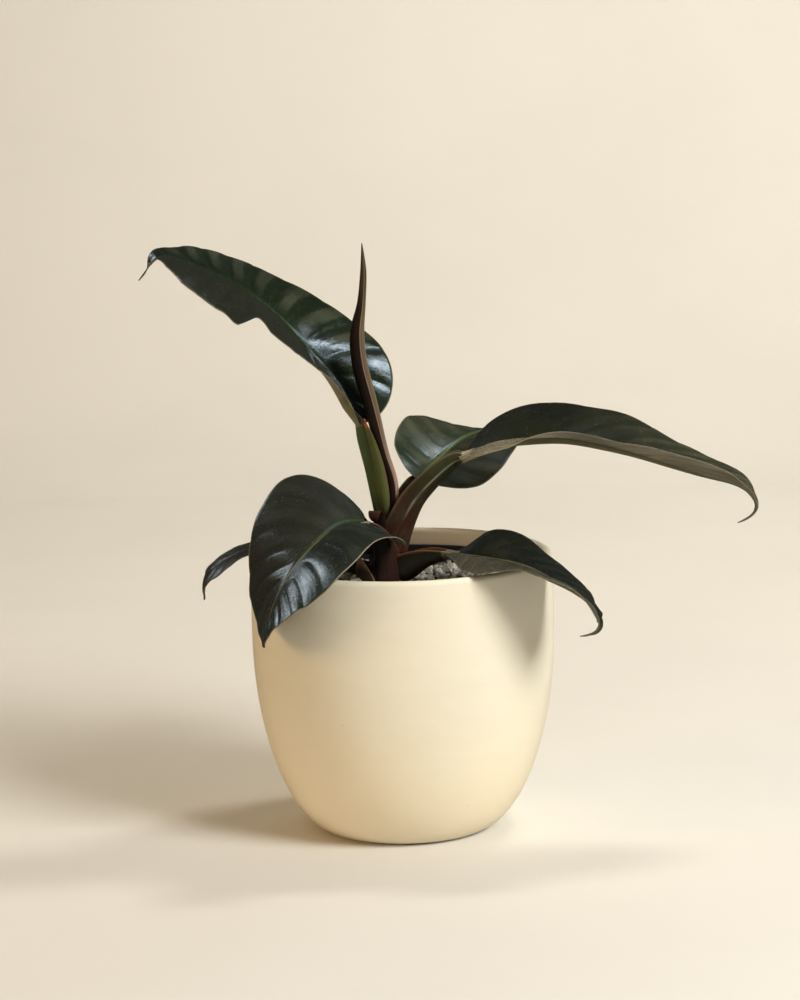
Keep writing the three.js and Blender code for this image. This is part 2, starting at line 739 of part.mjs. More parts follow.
// Pieces of the crown, youngest first. Each is cut clear of all that it wraps round, and the
// bed of soil and grit gets a plain hole where each of them enters it.
function crownPieces() {
  const pieces = {};
  const grown = [];
  const clearOf = (solid) => largest(grown.reduce((left, other) => left.subtract(other), solid));
  const add = (name, solid, ...around) => {
    pieces[name] = clearOf(solid);
    around.forEach((geometry) => grown.push(solidOf(geometry)));
  };
  add('stem', solidOf(stemGeometry(0)), stemGeometry(gap));
  add('new_leaf', solidOf(rolledLeafGeometry(0)), rolledLeafGeometry(gap));
  Object.entries(leaves).forEach(([name, leaf]) => {
    const solid = solidOf(stalkGeometry(leaf, 0)).add(solidOf(bladeGeometry(leaf, 0)));
    add(name, solid, stalkGeometry(leaf, gap), bladeGeometry(leaf, gap));
  });
  Object.entries(sheaths).forEach(([name, sheath]) =>
    add(name, solidOf(sheathGeometry(sheath, 0)), sheathGeometry(sheath, gap)),
  );
  pieces.soil = clearOf(solidOf(soilGeometry()));
  pieces.grit = clearOf(solidOf(gritGeometry()));
  return pieces;
}

// Colours and roughness of the finishes
const finishes = {
  ceramic: [0xebe3cc, 0.55],
  plastic: [0x23252a, 0.5],
  soil: [0x2b2119, 0.95],
  grit: [0xa9aaa4, 0.95],
  leaf: [0x1d2620, 0.32],
  newLeaf: [0x4a2622, 0.4],
  sheath: [0x8a4a30, 0.6],
  stem: [0x3a1f1b, 0.6],
};

function meshOf(name, geometry, finish) {
  const [color, roughness] = finishes[finish];
  const mesh = new THREE.Mesh(geometry, new THREE.MeshStandardMaterial({ color, roughness, metalness: 0 }));
  mesh.name = name;
  return mesh;
}

const group = new THREE.Group();
const crown = crownPieces();
group.add(meshOf('pot', potGeometry(), 'ceramic'));
group.add(meshOf('nursery_pot', nurseryGeometry(), 'plastic'));
group.add(meshOf('soil', geometryFrom(crown.soil), 'soil'));
group.add(meshOf('grit', geometryFrom(crown.grit), 'grit'));
group.add(meshOf('stem', geometryFrom(crown.stem), 'stem'));
group.add(meshOf('new_leaf', geometryFrom(crown.new_leaf), 'newLeaf'));
Object.keys(leaves).forEach((name) => group.add(meshOf(name, geometryFrom(crown[name]), 'leaf')));
Object.keys(sheaths).forEach((name) => group.add(meshOf(name, geometryFrom(crown[name]), 'sheath')));

export default group;
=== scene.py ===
import math

import bmesh
import bpy
import numpy as np
from mathutils import Matrix, Vector


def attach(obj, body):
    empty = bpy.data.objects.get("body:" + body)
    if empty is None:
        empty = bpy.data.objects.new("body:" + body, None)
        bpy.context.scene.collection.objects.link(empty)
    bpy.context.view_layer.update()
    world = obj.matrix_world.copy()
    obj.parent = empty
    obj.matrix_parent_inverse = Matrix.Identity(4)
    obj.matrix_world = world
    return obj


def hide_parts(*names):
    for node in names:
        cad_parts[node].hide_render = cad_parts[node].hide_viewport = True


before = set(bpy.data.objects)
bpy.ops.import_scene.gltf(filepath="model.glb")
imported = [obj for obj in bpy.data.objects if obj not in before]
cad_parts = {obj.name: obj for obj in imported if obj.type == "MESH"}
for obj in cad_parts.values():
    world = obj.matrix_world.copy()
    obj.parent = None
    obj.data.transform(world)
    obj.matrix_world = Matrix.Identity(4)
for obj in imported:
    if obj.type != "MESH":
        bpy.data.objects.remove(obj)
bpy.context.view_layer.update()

# A young imperial red philodendron in a cream ceramic pot. Shapes are worked out in millimetres.
metres = 0.001


# Curves and meshes

def along(rows, t):  # smooth curve through evenly spaced rows, at t from 0 to 1
    rows = np.asarray(rows, float)
    last = len(rows) - 1
    place = np.clip(t, 0, 1) * last
    i = np.minimum(place.astype(int), last - 1)
    f = (place - i)[:, None]
    p1, p2 = rows[i], rows[i + 1]
    p0 = np.where((i > 0)[:, None], rows[i - 1], 2 * p1 - p2)
    p3 = np.where((i + 2 <= last)[:, None], rows[np.minimum(i + 2, last)], 2 * p2 - p1)
    bend = 2 * p0 - 5 * p1 + 4 * p2 - p3 + f * (3 * (p1 - p2) + p3 - p0)
    return p1 + 0.5 * f * (p2 - p0 + f * bend)


def alongUneven(rows, x):  # the same through rows whose first number says where they stand
    rows = np.asarray(rows, float)
    places = rows[:, 0]
    slopes = np.gradient(rows, axis=0) / np.gradient(places)[:, None]
    i = np.clip(np.searchsorted(places, x, side="right") - 1, 0, len(rows) - 2)
    width = (places[i + 1] - places[i])[:, None]
    f = np.clip((x - places[i]) / width[:, 0], 0, 1)[:, None]
    p, q = rows[i], rows[i + 1]
    m, n = slopes[i] * width, slopes[i + 1] * width
    return p + f * m + f * f * (3 * (q - p) - 2 * m - n) + f**3 * (2 * (p - q) + m + n)


def unit(vectors):
    return vectors / np.maximum(np.linalg.norm(vectors, axis=-1, keepdims=True), 1e-9)


def frameAlong(stations, t, heading):  # point, forward, side and up, with the side kept level
    rows = np.asarray(stations, float)[:, :3]
    step = 0.01
    at = along(rows, t)
    forward = unit(along(rows, np.minimum(t + step, 1)) - along(rows, np.maximum(t - step, 0)))
    angle = np.radians(np.broadcast_to(heading, t.shape))
    level = np.stack([np.sin(angle), -np.cos(angle), np.zeros_like(t)], axis=-1)
    side = unit(level - (level * forward).sum(-1, keepdims=True) * forward)
    return at, forward, side, np.cross(side, forward)


def smoothStep(x, low, high):
    t = np.clip((x - low) / (high - low), 0, 1)
    return t * t * (3 - 2 * t)


def tubeFaces(rows, count, firstRow=0):  # quads between rings of equal count
    i, k = np.meshgrid(np.arange(rows - 1), np.arange(count), indexing="ij")
    a = firstRow + i * count + k
    b = firstRow + i * count + (k + 1) % count
    return np.stack([a, b, b + count, a + count], axis=-1).reshape(-1, 4)


def closedTube(rows, count):  # the same turned outward, with a flat face at either end
    last = (rows - 1) * count
    faces = [f[::-1] for f in tubeFaces(rows, count).tolist()]
    return faces + [tuple(range(count)), tuple(last + k for k in reversed(range(count)))]


def makePiece(name, points, faces, slotOf=None):  # a mesh object, smooth shaded
    mesh = bpy.data.meshes.new(name)
    mesh.from_pydata((np.asarray(points) * metres).tolist(), [], [list(map(int, f)) for f in faces])
    mesh.update()
    mesh.polygons.foreach_set("use_smooth", np.ones(len(mesh.polygons), bool))
    if slotOf is not None:
        mesh.polygons.foreach_set("material_index", np.asarray(slotOf, np.int32))
    piece = bpy.data.objects.new(name, mesh)
    bpy.context.scene.collection.objects.link(piece)
    return piece


def addValues(piece, name, values):  # a number or a vector for each point of the mesh
    values = np.asarray(values, np.float32)
    kind, field = ("FLOAT", "value") if values.ndim == 1 else ("FLOAT_VECTOR", "vector")
    piece.data.attributes.new(name, kind, "POINT").data.foreach_set(field, values.ravel())


def placesOf(piece):  # each point of the mesh, and how far it is from the Z axis
    places = np.array([v.co for v in piece.data.vertices]) / metres
    return places, np.hypot(places[:, 0], places[:, 1])


def placePiece(piece, materials, slot, *nodes):
    for material in materials:
        piece.data.materials.append(material)
    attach(piece, "root")
    if nodes:
        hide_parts(*nodes)
    print("piece", piece.name, len(piece.data.polygons), "faces")


# Nodes

def addNode(tree, kind, settings=None, inputs=None):
    made = tree.nodes.new(kind)
    for key, value in (settings or {}).items():
        setattr(made, key, value)
    for key, value in (inputs or {}).items():
        if isinstance(value, bpy.types.NodeSocket):
            tree.links.new(value, made.inputs[key])
        else:
            made.inputs[key].default_value = value
    return made


def calc(tree, operation, a, b=0.0, clamp=False):
    settings = {"operation": operation, "use_clamp": clamp}
    return addNode(tree, "ShaderNodeMath", settings, {0: a, 1: b}).outputs[0]


def times(tree, a, b):
    return calc(tree, "MULTIPLY", a, b)


def plus(tree, a, b):
    return calc(tree, "ADD", a, b)


def between(tree, value, low, high, fromValue=0.0, toValue=1.0):  # a smooth step, clamped
    inputs = {"Value": value, "From Min": low, "From Max": high, "To Min": fromValue, "To Max": toValue}
    return addNode(tree, "ShaderNodeMapRange", {"interpolation_type": "SMOOTHSTEP"}, inputs).outputs[0]


def mixColours(tree, factor, a, b):
    a = (*a, 1) if isinstance(a, tuple) and len(a) == 3 else a
    b = (*b, 1) if isinstance(b, tuple) and len(b) == 3 else b
    return addNode(tree, "ShaderNodeMix", {"data_type": "RGBA"}, {0: factor, 6: a, 7: b}).outputs[2]


def layered(tree, colour, *layers):  # each layer is a mask and the colour that shows through it
    for mask, above in layers:
        colour = mixColours(tree, mask, colour, above)
    return colour


def attribute(tree, name, output="Fac"):
    return addNode(tree, "ShaderNodeAttribute", {"attribute_name": name}).outputs[output]


def splitVector(tree, vector):
    return addNode(tree, "ShaderNodeSeparateXYZ", None, {0: vector}).outputs


def objectPlace(tree, stretch=(1, 1, 1)):  # the place on the object, stretched along its axes
    place = addNode(tree, "ShaderNodeTexCoord").outputs["Object"]
    return addNode(tree, "ShaderNodeMapping", None, {"Vector": place, "Scale": stretch}).outputs[0]


def noise(tree, vector, scale, detail=3.0, roughness=0.55):
    inputs = {"Vector": vector, "Scale": scale, "Detail": detail, "Roughness": roughness}
    return addNode(tree, "ShaderNodeTexNoise", None, inputs).outputs[0]


def flatVector(tree, first, firstScale, second, secondScale):  # two values, each scaled, as X and Y
    parts = {0: times(tree, first, firstScale), 1: times(tree, second, secondScale)}
    return addNode(tree, "ShaderNodeCombineXYZ", None, parts).outputs[0]


def newGroup(name, sockets):
    tree = bpy.data.node_groups.new(name, "ShaderNodeTree")
    for socketName, direction, kind, value in sockets:
        socket = tree.interface.new_socket(name=socketName, in_out=direction, socket_type=kind)
        if value is not None:
            socket.default_value = value
    inside = tree.nodes.new("NodeGroupInput").outputs
    outside = tree.nodes.new("NodeGroupOutput").inputs
    return tree, inside, outside


def useGroup(tree, group, **values):
    return addNode(tree, "ShaderNodeGroup", {"node_tree": group}, values).outputs


def newMaterial(name, **constants):
    material = bpy.data.materials.new(name)
    material.use_nodes = True
    tree = material.node_tree
    shader = tree.nodes["Principled BSDF"]
    for key, value in constants.items():
        shader.inputs[key].default_value = value
    return material, tree, shader


def paint(tree, shader, colour, rough=None):
    tree.links.new(colour, shader.inputs["Base Color"])
    if rough is not None:
        tree.links.new(rough, shader.inputs["Roughness"])


def bumpInto(tree, shader, height, strength, distance):
    inputs = {"Height": height, "Strength": strength, "Distance": distance}
    tree.links.new(addNode(tree, "ShaderNodeBump", None, inputs).outputs[0], shader.inputs["Normal"])


# Fine pale specks of dust that lie on leaves, and a soft film of it
def makeDustGroup():
    tree, inside, outside = newGroup("dust", [
        ("Amount", "INPUT", "NodeSocketFloat", 0.5),
        ("Mask", "OUTPUT", "NodeSocketFloat", None),
    ])
    place = objectPlace(tree)
    cells = addNode(tree, "ShaderNodeTexVoronoi", None, {"Vector": place, "Scale": 620.0, "Randomness": 1.0})
    speck = between(tree, cells.outputs["Distance"], 0.16, 0.05)
    chosen = between(tree, splitVector(tree, cells.outputs["Color"])[0], 0.62, 0.7)
    cloud = between(tree, noise(tree, place, 38.0, 4.0), 0.42, 0.68)
    mask = times(tree, times(tree, speck, chosen), cloud)
    tree.links.new(calc(tree, "MULTIPLY", mask, inside["Amount"], True), outside["Mask"])
    return tree


# Broad soft patches of tone, from 0 to 1
def makePatchGroup():
    tree, inside, outside = newGroup("patches", [
        ("Scale", "INPUT", "NodeSocketFloat", 60.0),
        ("Tone", "OUTPUT", "NodeSocketFloat", None),
    ])
    broad = addNode(tree, "ShaderNodeTexNoise", None, {"Vector": objectPlace(tree), "Detail": 4.0})
    tree.links.new(inside["Scale"], broad.inputs["Scale"])
    tree.links.new(between(tree, broad.outputs[0], 0.3, 0.7), outside["Tone"])
    return tree


# Veins, midrib and margin of a blade, read from the values that its mesh carries
def makeVeinGroup():
    tree, inside, outside = newGroup("veins", [
        ("RibWidth", "INPUT", "NodeSocketFloat", 0.8),
        ("Rib", "OUTPUT", "NodeSocketFloat", None),
        ("Vein", "OUTPUT", "NodeSocketFloat", None),
        ("Streak", "OUTPUT", "NodeSocketFloat", None),
        ("StripeAndSheen", "OUTPUT", "NodeSocketFloat", None),
        ("Edge", "OUTPUT", "NodeSocketFloat", None),
    ])
    place = attribute(tree, "leafPlace", "Vector")
    phase, fromRib, fromEdge = splitVector(tree, place)[:3]
    nearRib = calc(tree, "DIVIDE", fromRib, inside["RibWidth"])
    tree.links.new(between(tree, nearRib, 1.6, 0.5), outside["Rib"])
    saw = calc(tree, "PINGPONG", phase, 0.5)
    fading = between(tree, fromRib, 22.0, 2.0, 0.35, 1.0)
    tree.links.new(times(tree, between(tree, saw, 0.09, 0.0), fading), outside["Vein"])
    rays = flatVector(tree, phase, 5.0, fromRib, 0.05)
    tree.links.new(noise(tree, rays, 1.6, 5.0, 0.65), outside["Streak"])
    # pale stripes between the side veins: partly the leaf's own tone, partly painted sheen on the raised
    # pillows
    wander = plus(tree, saw, times(tree, noise(tree, rays, 0.7, 3.0), 0.5))
    soft = times(tree, between(tree, wander, 0.42, 0.68), between(tree, fromRib, 0.5, 5.0))
    tree.links.new(soft, outside["StripeAndSheen"])
    tree.links.new(between(tree, fromEdge, 0.75, 0.25), outside["Edge"])
    return tree


dustGroup = makeDustGroup()
patchGroup = makePatchGroup()
veinGroup = makeVeinGroup()


# Camera and stage

camera = {
    "distance": 1.5,
    "target": (0, 0, 0.175),
    "down": 9.5,
    "roll": -1.35,
    "lens": 102.5,
}


def makeCamera():
    down, roll = math.radians(camera["down"]), math.radians(camera["roll"])
    back = Vector((0, -math.cos(down), math.sin(down)))
    levelUp = Vector((0, math.sin(down), math.cos(down)))
    right = Vector((math.cos(roll), 0, 0)) + math.sin(roll) * levelUp
    up = back.cross(right)
    data = bpy.data.cameras.new("photoCamera")
    data.lens = camera["lens"]
    data.clip_start = 0.05
    made = bpy.data.objects.new("photoCamera", data)
    made.matrix_world = Matrix((right, up, back)).transposed().to_4x4()
    made.location = Vector(camera["target"]) + back * camera["distance"]
    bpy.context.scene.collection.objects.link(made)
    bpy.context.scene.camera = made


stage = {
    "wallDistance": 2.0,
    "sweepRadius": 0.9,
    "halfWidth": 4.5,
    "front": -4.5,
    "height": 3.4,
    "colour": (0.785, 0.775, 0.745),
    "skyColour": (1.0, 0.68, 0.4),
    "skyStrength": 0.2,
    "skyLow": 0.3,
    "room": (0.05, 0.052, 0.05),
    "aim": (0, 0, 0.12),
    "skySeen": (0.88, 0.82, 0.7),
}
lights = {
    "key": {"place": (1.2, -1.045, 1.155), "size": 0.8, "power": 39.0,
            "colour": (1.0, 0.985, 0.92), "in": ("diffuse",)},
    "sheen": {"place": (1.13, -0.24, 1.66), "size": 0.4, "power": 13.0,
              "colour": (0.86, 0.94, 1.0), "in": ("gloss",)},
    "left": {"place": (-1.5, -0.6, 0.45), "size": 0.7, "power": 8.5,
             "colour": (1.0, 0.68, 0.34), "in": ("diffuse",)},
    "wall": {"place": (0.7, 0.5, 1.9), "aim": (0.3, 2.0, 0.7), "size": 0.6, "power": 25.5,
             "colour": (1.0, 0.94, 0.8), "in": ("diffuse",)},
    "window": {"place": (-0.98, 0.95, 0.88), "size": 0.26, "tall": 0.42, "power": 2.0,
               "colour": (0.84, 0.94, 1.0), "in": ("gloss",)},
    "above": {"place": (0.36, 0.16, 1.8), "size": 0.6, "power": 0.9,
              "colour": (0.88, 0.95, 1.0), "in": ("gloss",)},
}


def makeStage():
    turn = np.radians(np.linspace(0, 90, 19))
    radius, wall = stage["sweepRadius"], stage["wallDistance"]
    sweep = [(wall - radius + radius * math.sin(a), radius - radius * math.cos(a)) for a in turn]
    profiles = {"floor": [(stage["front"], 0.0), sweep[0]], "backdrop": [*sweep, (wall, stage["height"])]}
    material, tree, shader = newMaterial("floorPaint", Roughness=0.85)
    tone = noise(tree, objectPlace(tree), 3.0, 5.0)
    darker = tuple(0.97 * c for c in stage["colour"])
    colour = mixColours(tree, between(tree, tone, 0.35, 0.65), stage["colour"], darker)
    paint(tree, shader, colour)
    for name, profile in profiles.items():
        points = [(x, y, z) for y, z in profile for x in (-stage["halfWidth"], stage["halfWidth"])]
        faces = [(2 * i, 2 * i + 1, 2 * i + 3, 2 * i + 2) for i in range(len(profile) - 1)]
        paper = makePiece(name, np.array(points) / metres, faces)
        paper.data.materials.append(material)
        paper.visible_glossy = False  # the leaves mirror only the lamps and a dim room


def makeWorld():
    world = bpy.data.worlds.new("studio")
    world.use_nodes = True
    tree = world.node_tree
    back = tree.nodes["Background"]
    heading = splitVector(tree, addNode(tree, "ShaderNodeTexCoord").outputs["Generated"])
    bright = between(tree, heading[2], 0.15, 0.85, stage["skyLow"], 1.0)
    sky = tuple(stage["skyStrength"] * c for c in stage["skyColour"])
    glow = mixColours(tree, bright, (0, 0, 0), sky)
    path = addNode(tree, "ShaderNodeLightPath").outputs
    glow = mixColours(tree, path["Is Glossy Ray"], glow, stage["room"])
    tree.links.new(mixColours(tree, path["Is Camera Ray"], glow, stage["skySeen"]), back.inputs[0])
    bpy.context.scene.world = world


def makeLights():  # each lamp lights surfaces or shows in their gloss
    for name, light in lights.items():
        data = bpy.data.lights.new(name, "AREA")
        data.shape = "RECTANGLE" if "tall" in light else "DISK"
        data.size = light["size"]
        data.size_y = light.get("tall", light["size"])
        data.energy = light["power"]
        data.color = light["colour"]
        made = bpy.data.objects.new(name, data)
        made.location = light["place"]
        aim = Vector(light.get("aim", stage["aim"])) - Vector(light["place"])
        made.rotation_euler = aim.to_track_quat("-Z", "Y").to_euler()
        made.visible_camera = False
        made.visible_diffuse = "diffuse" in light["in"]
        made.visible_glossy = "gloss" in light["in"]
        bpy.context.scene.collection.objects.link(made)
    bpy.context.scene.view_settings.view_transform = "Standard"


makeCamera()
makeStage()
makeWorld()
makeLights()
print("camera, floor and lights placed")


# Ceramic pot

pot = {
    "radius": 80,
    "height": 146.5,
    "footRadius": 42,
    "bellyTop": 105,
    "roundness": 1.75,
    "wall": 5.5,
    "floor": 8,
    "sides": 160,
    "glaze": (0.78, 0.735, 0.605),
    "glazeDark": (0.76, 0.705, 0.57),
    # painted light: a warm paler tint on the lower pot stands for light bounced up from the floor
    "paintedBounceLight": (0.93, 0.82, 0.61),
    # painted light: the inside wall is painted paler, over the shade that falls there
    "paintedInsideLight": (0.93, 0.93, 0.9),
    "speck": (0.45, 0.38, 0.28),
    "speckStrength": 0.35,
    "smoothest": 0.37,
    "roughest": 0.5,
}


def potOuter(height):
    below = np.maximum((pot["bellyTop"] - height) / pot["bellyTop"], 0)
    return pot["footRadius"] + (pot["radius"] - pot["footRadius"]) * (1 - below**2) ** (1 / pot["roundness"])


def turnedPiece(name, profile, sides):  # a closed profile of radius and height, turned about Z
    profile = np.asarray(profile, float)
    angle = 2 * np.pi * np.arange(sides) / sides
    onAxis = profile[:, 0] < 1e-6
    rings = profile[~onAxis]
    points = np.stack([
        rings[:, 0, None] * np.cos(angle), rings[:, 0, None] * np.sin(angle),
        np.repeat(rings[:, 1, None], sides, axis=1)], axis=-1).reshape(-1, 3)
    faces = tubeFaces(len(rings), sides).tolist()
    low, high = len(points), len(points) + 1
    points = np.vstack([points, [0, 0, profile[0, 1]], [0, 0, profile[-1, 1]]])
    end = (len(rings) - 1) * sides
    faces += [(low, (k + 1) % sides, k) for k in range(sides)]
    faces += [(high, end + k, end + (k + 1) % sides) for k in range(sides)]
    return makePiece(name, points, faces)


def ceramicMaterial():
    material, tree, shader = newMaterial("ceramic", **{"Specular IOR Level": 0.45, "Coat Roughness": 0.3})
    place = objectPlace(tree)
    tone = useGroup(tree, patchGroup, Scale=14.0)["Tone"]
    bands = noise(tree, objectPlace(tree, (1, 1, 5)), 22.0, 4.0)
    height = splitVector(tree, addNode(tree, "ShaderNodeTexCoord").outputs["Object"])[2]
    cells = addNode(tree, "ShaderNodeTexVoronoi", None, {"Vector": place, "Scale": 95.0}).outputs
    chosen = between(tree, splitVector(tree, cells["Color"])[0], 0.9, 0.93)
    speck = times(tree, between(tree, cells["Distance"], 0.07, 0.02), chosen)
    colour = layered(
        tree, pot["glaze"],
        (times(tree, tone, between(tree, bands, 0.35, 0.7)), pot["glazeDark"]),
        # painted light: warmer and paler towards the foot, for light bounced up from the floor
        (between(tree, height, 0.1, 0.01, 0.0, 0.8), pot["paintedBounceLight"]),
        # painted light: the inside wall painted paler, over the shade that falls there
        (attribute(tree, "inside"), pot["paintedInsideLight"]),
        (times(tree, speck, pot["speckStrength"]), pot["speck"]))
    rough = between(tree, noise(tree, place, 60.0, 5.0), 0.3, 0.7, pot["smoothest"], pot["roughest"])
    paint(tree, shader, colour, rough)
    fine = plus(tree, noise(tree, place, 160.0, 4.0), times(tree, noise(tree, place, 24.0), 2.0))
    bumpInto(tree, shader, fine, 0.2, 0.0004)
    return material


def makePot():
    lip = pot["wall"] / 2
    foot = [(0, 0.9), (26, 0.9), (29, 0.5), (33, 0.05), (38, 0), (40.5, 0.1), (42.2, 0.6)]
    rise = 1.2 + (pot["height"] - lip - 1.2) * (np.linspace(0, 1, 70) ** 1.4)
    turn = np.radians(np.linspace(0, 180, 15)[1:-1])
    edge = [(pot["radius"] - lip + lip * math.cos(a), pot["height"] - lip + lip * math.sin(a)) for a in turn]
    fall = np.linspace(pot["height"] - lip, pot["floor"] + 6, 46)
    inner = [(potOuter(z) - pot["wall"], z) for z in fall]
    corner = potOuter(pot["floor"]) - pot["wall"]
    inside = [(corner - 3.5, pot["floor"] + 1.6), (corner - 8, pot["floor"]), (0, pot["floor"])]
    outer = [(potOuter(z), z) for z in rise]
    piece = turnedPiece("ceramic_pot", foot + outer + edge + inner + inside, pot["sides"])
    places, radius = placesOf(piece)
    wallRadius = potOuter(np.minimum(places[:, 2], pot["height"]))
    addValues(piece, "inside", smoothStep(wallRadius - radius, 0.55 * pot["wall"], 0.95 * pot["wall"]))
    placePiece(piece, [ceramicMaterial()], "ceramic", "pot")


makePot()


# Nursery pot

nursery = {
    "rimRadius": 72.5,
    "baseRadius": 45,
    "top": 138,
    "wall": 1.3,
    "rimDepth": 9,
    "rimStep": 1.5,
    "base": 8.3,
    "sides": 144,
    "ribs": 36,
    "ribHeight": 0.35,
    "colour": (0.016, 0.02, 0.03),
    "dust": (0.075, 0.078, 0.08),
    "dustStrength": 0.35,
}


def nurseryOuter(height):
    share = (height - nursery["base"]) / (nursery["top"] - nursery["base"])
    growth = nursery["rimRadius"] - nursery["rimStep"] - nursery["baseRadius"]
    return nursery["baseRadius"] + growth * share


def plasticMaterial():
    material, tree, shader = newMaterial("plastic", **{"Specular IOR Level": 0.5})
    place = objectPlace(tree)
    tone = noise(tree, place, 90.0, 5.0)
    dusty = times(tree, between(tree, tone, 0.45, 0.75), nursery["dustStrength"])
    colour = mixColours(tree, dusty, nursery["colour"], nursery["dust"])
    paint(tree, shader, colour, between(tree, tone, 0.3, 0.7, 0.38, 0.6))
    bumpInto(tree, shader, noise(tree, place, 900.0, 2.0), 0.25, 0.0002)
    return material


def makeNurseryPot():
    n, base = nursery, nursery["base"]
    band = n["top"] - n["rimDepth"]
    rim, inner = n["rimRadius"], n["rimRadius"] - n["rimStep"] - n["wall"]
    profile = [(0, base), (n["baseRadius"] - 2, base), (nurseryOuter(base + 2), base + 2)]
    profile += [(nurseryOuter(z), z) for z in np.linspace(base + 6, band, 20)]
    profile += [(rim - 0.2, band + 0.05), (rim, band + 0.5), (rim, n["top"] - 0.6), (rim - 0.3, n["top"])]
    profile += [(inner + 0.4, n["top"]), (inner, n["top"] - 0.5), (nurseryOuter(band) - n["wall"], band)]
    profile += [(nurseryOuter(z) - n["wall"], z) for z in np.linspace(band - 4, base + 4, 12)]
    profile += [(n["baseRadius"] - 4, base + 1.6), (0, base + 1.6)]
    piece = turnedPiece("nursery_pot_shell", profile, n["sides"])
    places, radius = placesOf(piece)
    outside = (radius > nurseryOuter(places[:, 2]) - 0.05) & (places[:, 2] < band - 1) & (places[:, 2] > 14)
    angle = np.arctan2(places[:, 1], places[:, 0])
    raised = outside * n["ribHeight"] * np.maximum(np.cos(n["ribs"] * angle), 0) ** 2
    places[:, :2] *= (1 + raised / np.maximum(radius, 1))[:, None]
    piece.data.vertices.foreach_set("co", (places * metres).astype(np.float32).ravel())
    placePiece(piece, [plasticMaterial()], "plastic", "nursery_pot")


makeNurseryPot()


# Soil, which stays as the frame has it, and the pumice grit on it

soilLook = {"dark": (0.018, 0.012, 0.008), "crumb": (0.06, 0.042, 0.03)}


def soilMaterial():
    material, tree, shader = newMaterial("pottingSoil", Roughness=0.9)
    place = objectPlace(tree)
    crumbs = noise(tree, place, 420.0, 6.0, 0.7)
    colour = mixColours(tree, between(tree, crumbs, 0.35, 0.65), soilLook["dark"], soilLook["crumb"])
    paint(tree, shader, colour)
    bumpInto(tree, shader, crumbs, 0.8, 0.0015)
    return material


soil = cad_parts["soil"]
soil.data.materials.clear()
soil.data.materials.append(soilMaterial())

grit = {
    "seed": 41,
    "top": 131.2,
    "under": 128.8,
    "radius": 66.4,
    "mound": 2.5,
    "moundRadius": 30,
    "stemX": -9,
    "spacing": 3.7,
    "jitter": 1.5,
    "ringStep": 1.6,
    "roughness": 0.25,
    "smallest": 2.0,
    "largest": 4.4,
    "large": 260,
    "largeSizes": (1.4, 5.0),
    "sides": 160,
    "bedSunk": 2.3,
    "grainSunk": 1.8,
    "grainRise": 2.8,
    "stalks": [(-9, 0, 9.5), (-8.5, -11.5, 8), (3, -10, 6)],
    "dirt": (0.06, 0.05, 0.04),
    "pore": (0.08, 0.075, 0.07),
    "pale": (0.86, 0.85, 0.79),
    # dark: the bed between the grains, as painted shade in the gaps, and the darkest grains
    "dark": (0.025, 0.02, 0.016),
}


def gritHeight(x, y):
    away = (x - grit["stemX"]) ** 2 + y**2
    waves = 0.5 * np.sin(x / 7.3 + 1.2) * np.sin(y / 6.1) + 0.35 * np.sin(x / 3.1) * np.cos(y / 3.7)
    return grit["top"] + grit["mound"] * np.exp(-away / grit["moundRadius"] ** 2) + waves


def lumpShape():  # a rounded lump of 42 points and 80 faces, about 1 across
    mesh = bpy.data.meshes.new("lump")
    form = bmesh.new()
    bmesh.ops.create_icosphere(form, subdivisions=2, radius=0.5)
    form.to_mesh(mesh)
    form.free()
    points = np.array([v.co for v in mesh.vertices])
    faces = np.array([list(p.vertices) for p in mesh.polygons])
    bpy.data.meshes.remove(mesh)
    return points, faces


def randomTurns(random, count):
    q = unit(random.normal(size=(count, 4)))
    w, x, y, z = q.T
    return np.stack([
        1 - 2 * (y * y + z * z), 2 * (x * y - z * w), 2 * (x * z + y * w),
        2 * (x * y + z * w), 1 - 2 * (x * x + z * z), 2 * (y * z - x * w),
        2 * (x * z - y * w), 2 * (y * z + x * w), 1 - 2 * (x * x + y * y)], axis=-1).reshape(-1, 3, 3)


def gritMaterial():
    material, tree, shader = newMaterial("pumiceGrit", Roughness=0.92)
    place = objectPlace(tree)
    pores = noise(tree, place, 1500.0, 4.0, 0.7)
    colour = layered(
        tree, grit["dark"],
        (attribute(tree, "grainTone"), grit["pale"]),
        (between(tree, noise(tree, place, 210.0, 4.0), 0.55, 0.75, 0.0, 0.4), grit["dirt"]),
        (between(tree, pores, 0.55, 0.35, 0.0, 0.35), grit["pore"]))
    paint(tree, shader, colour)
    bumpInto(tree, shader, pores, 0.7, 0.0004)
    return material


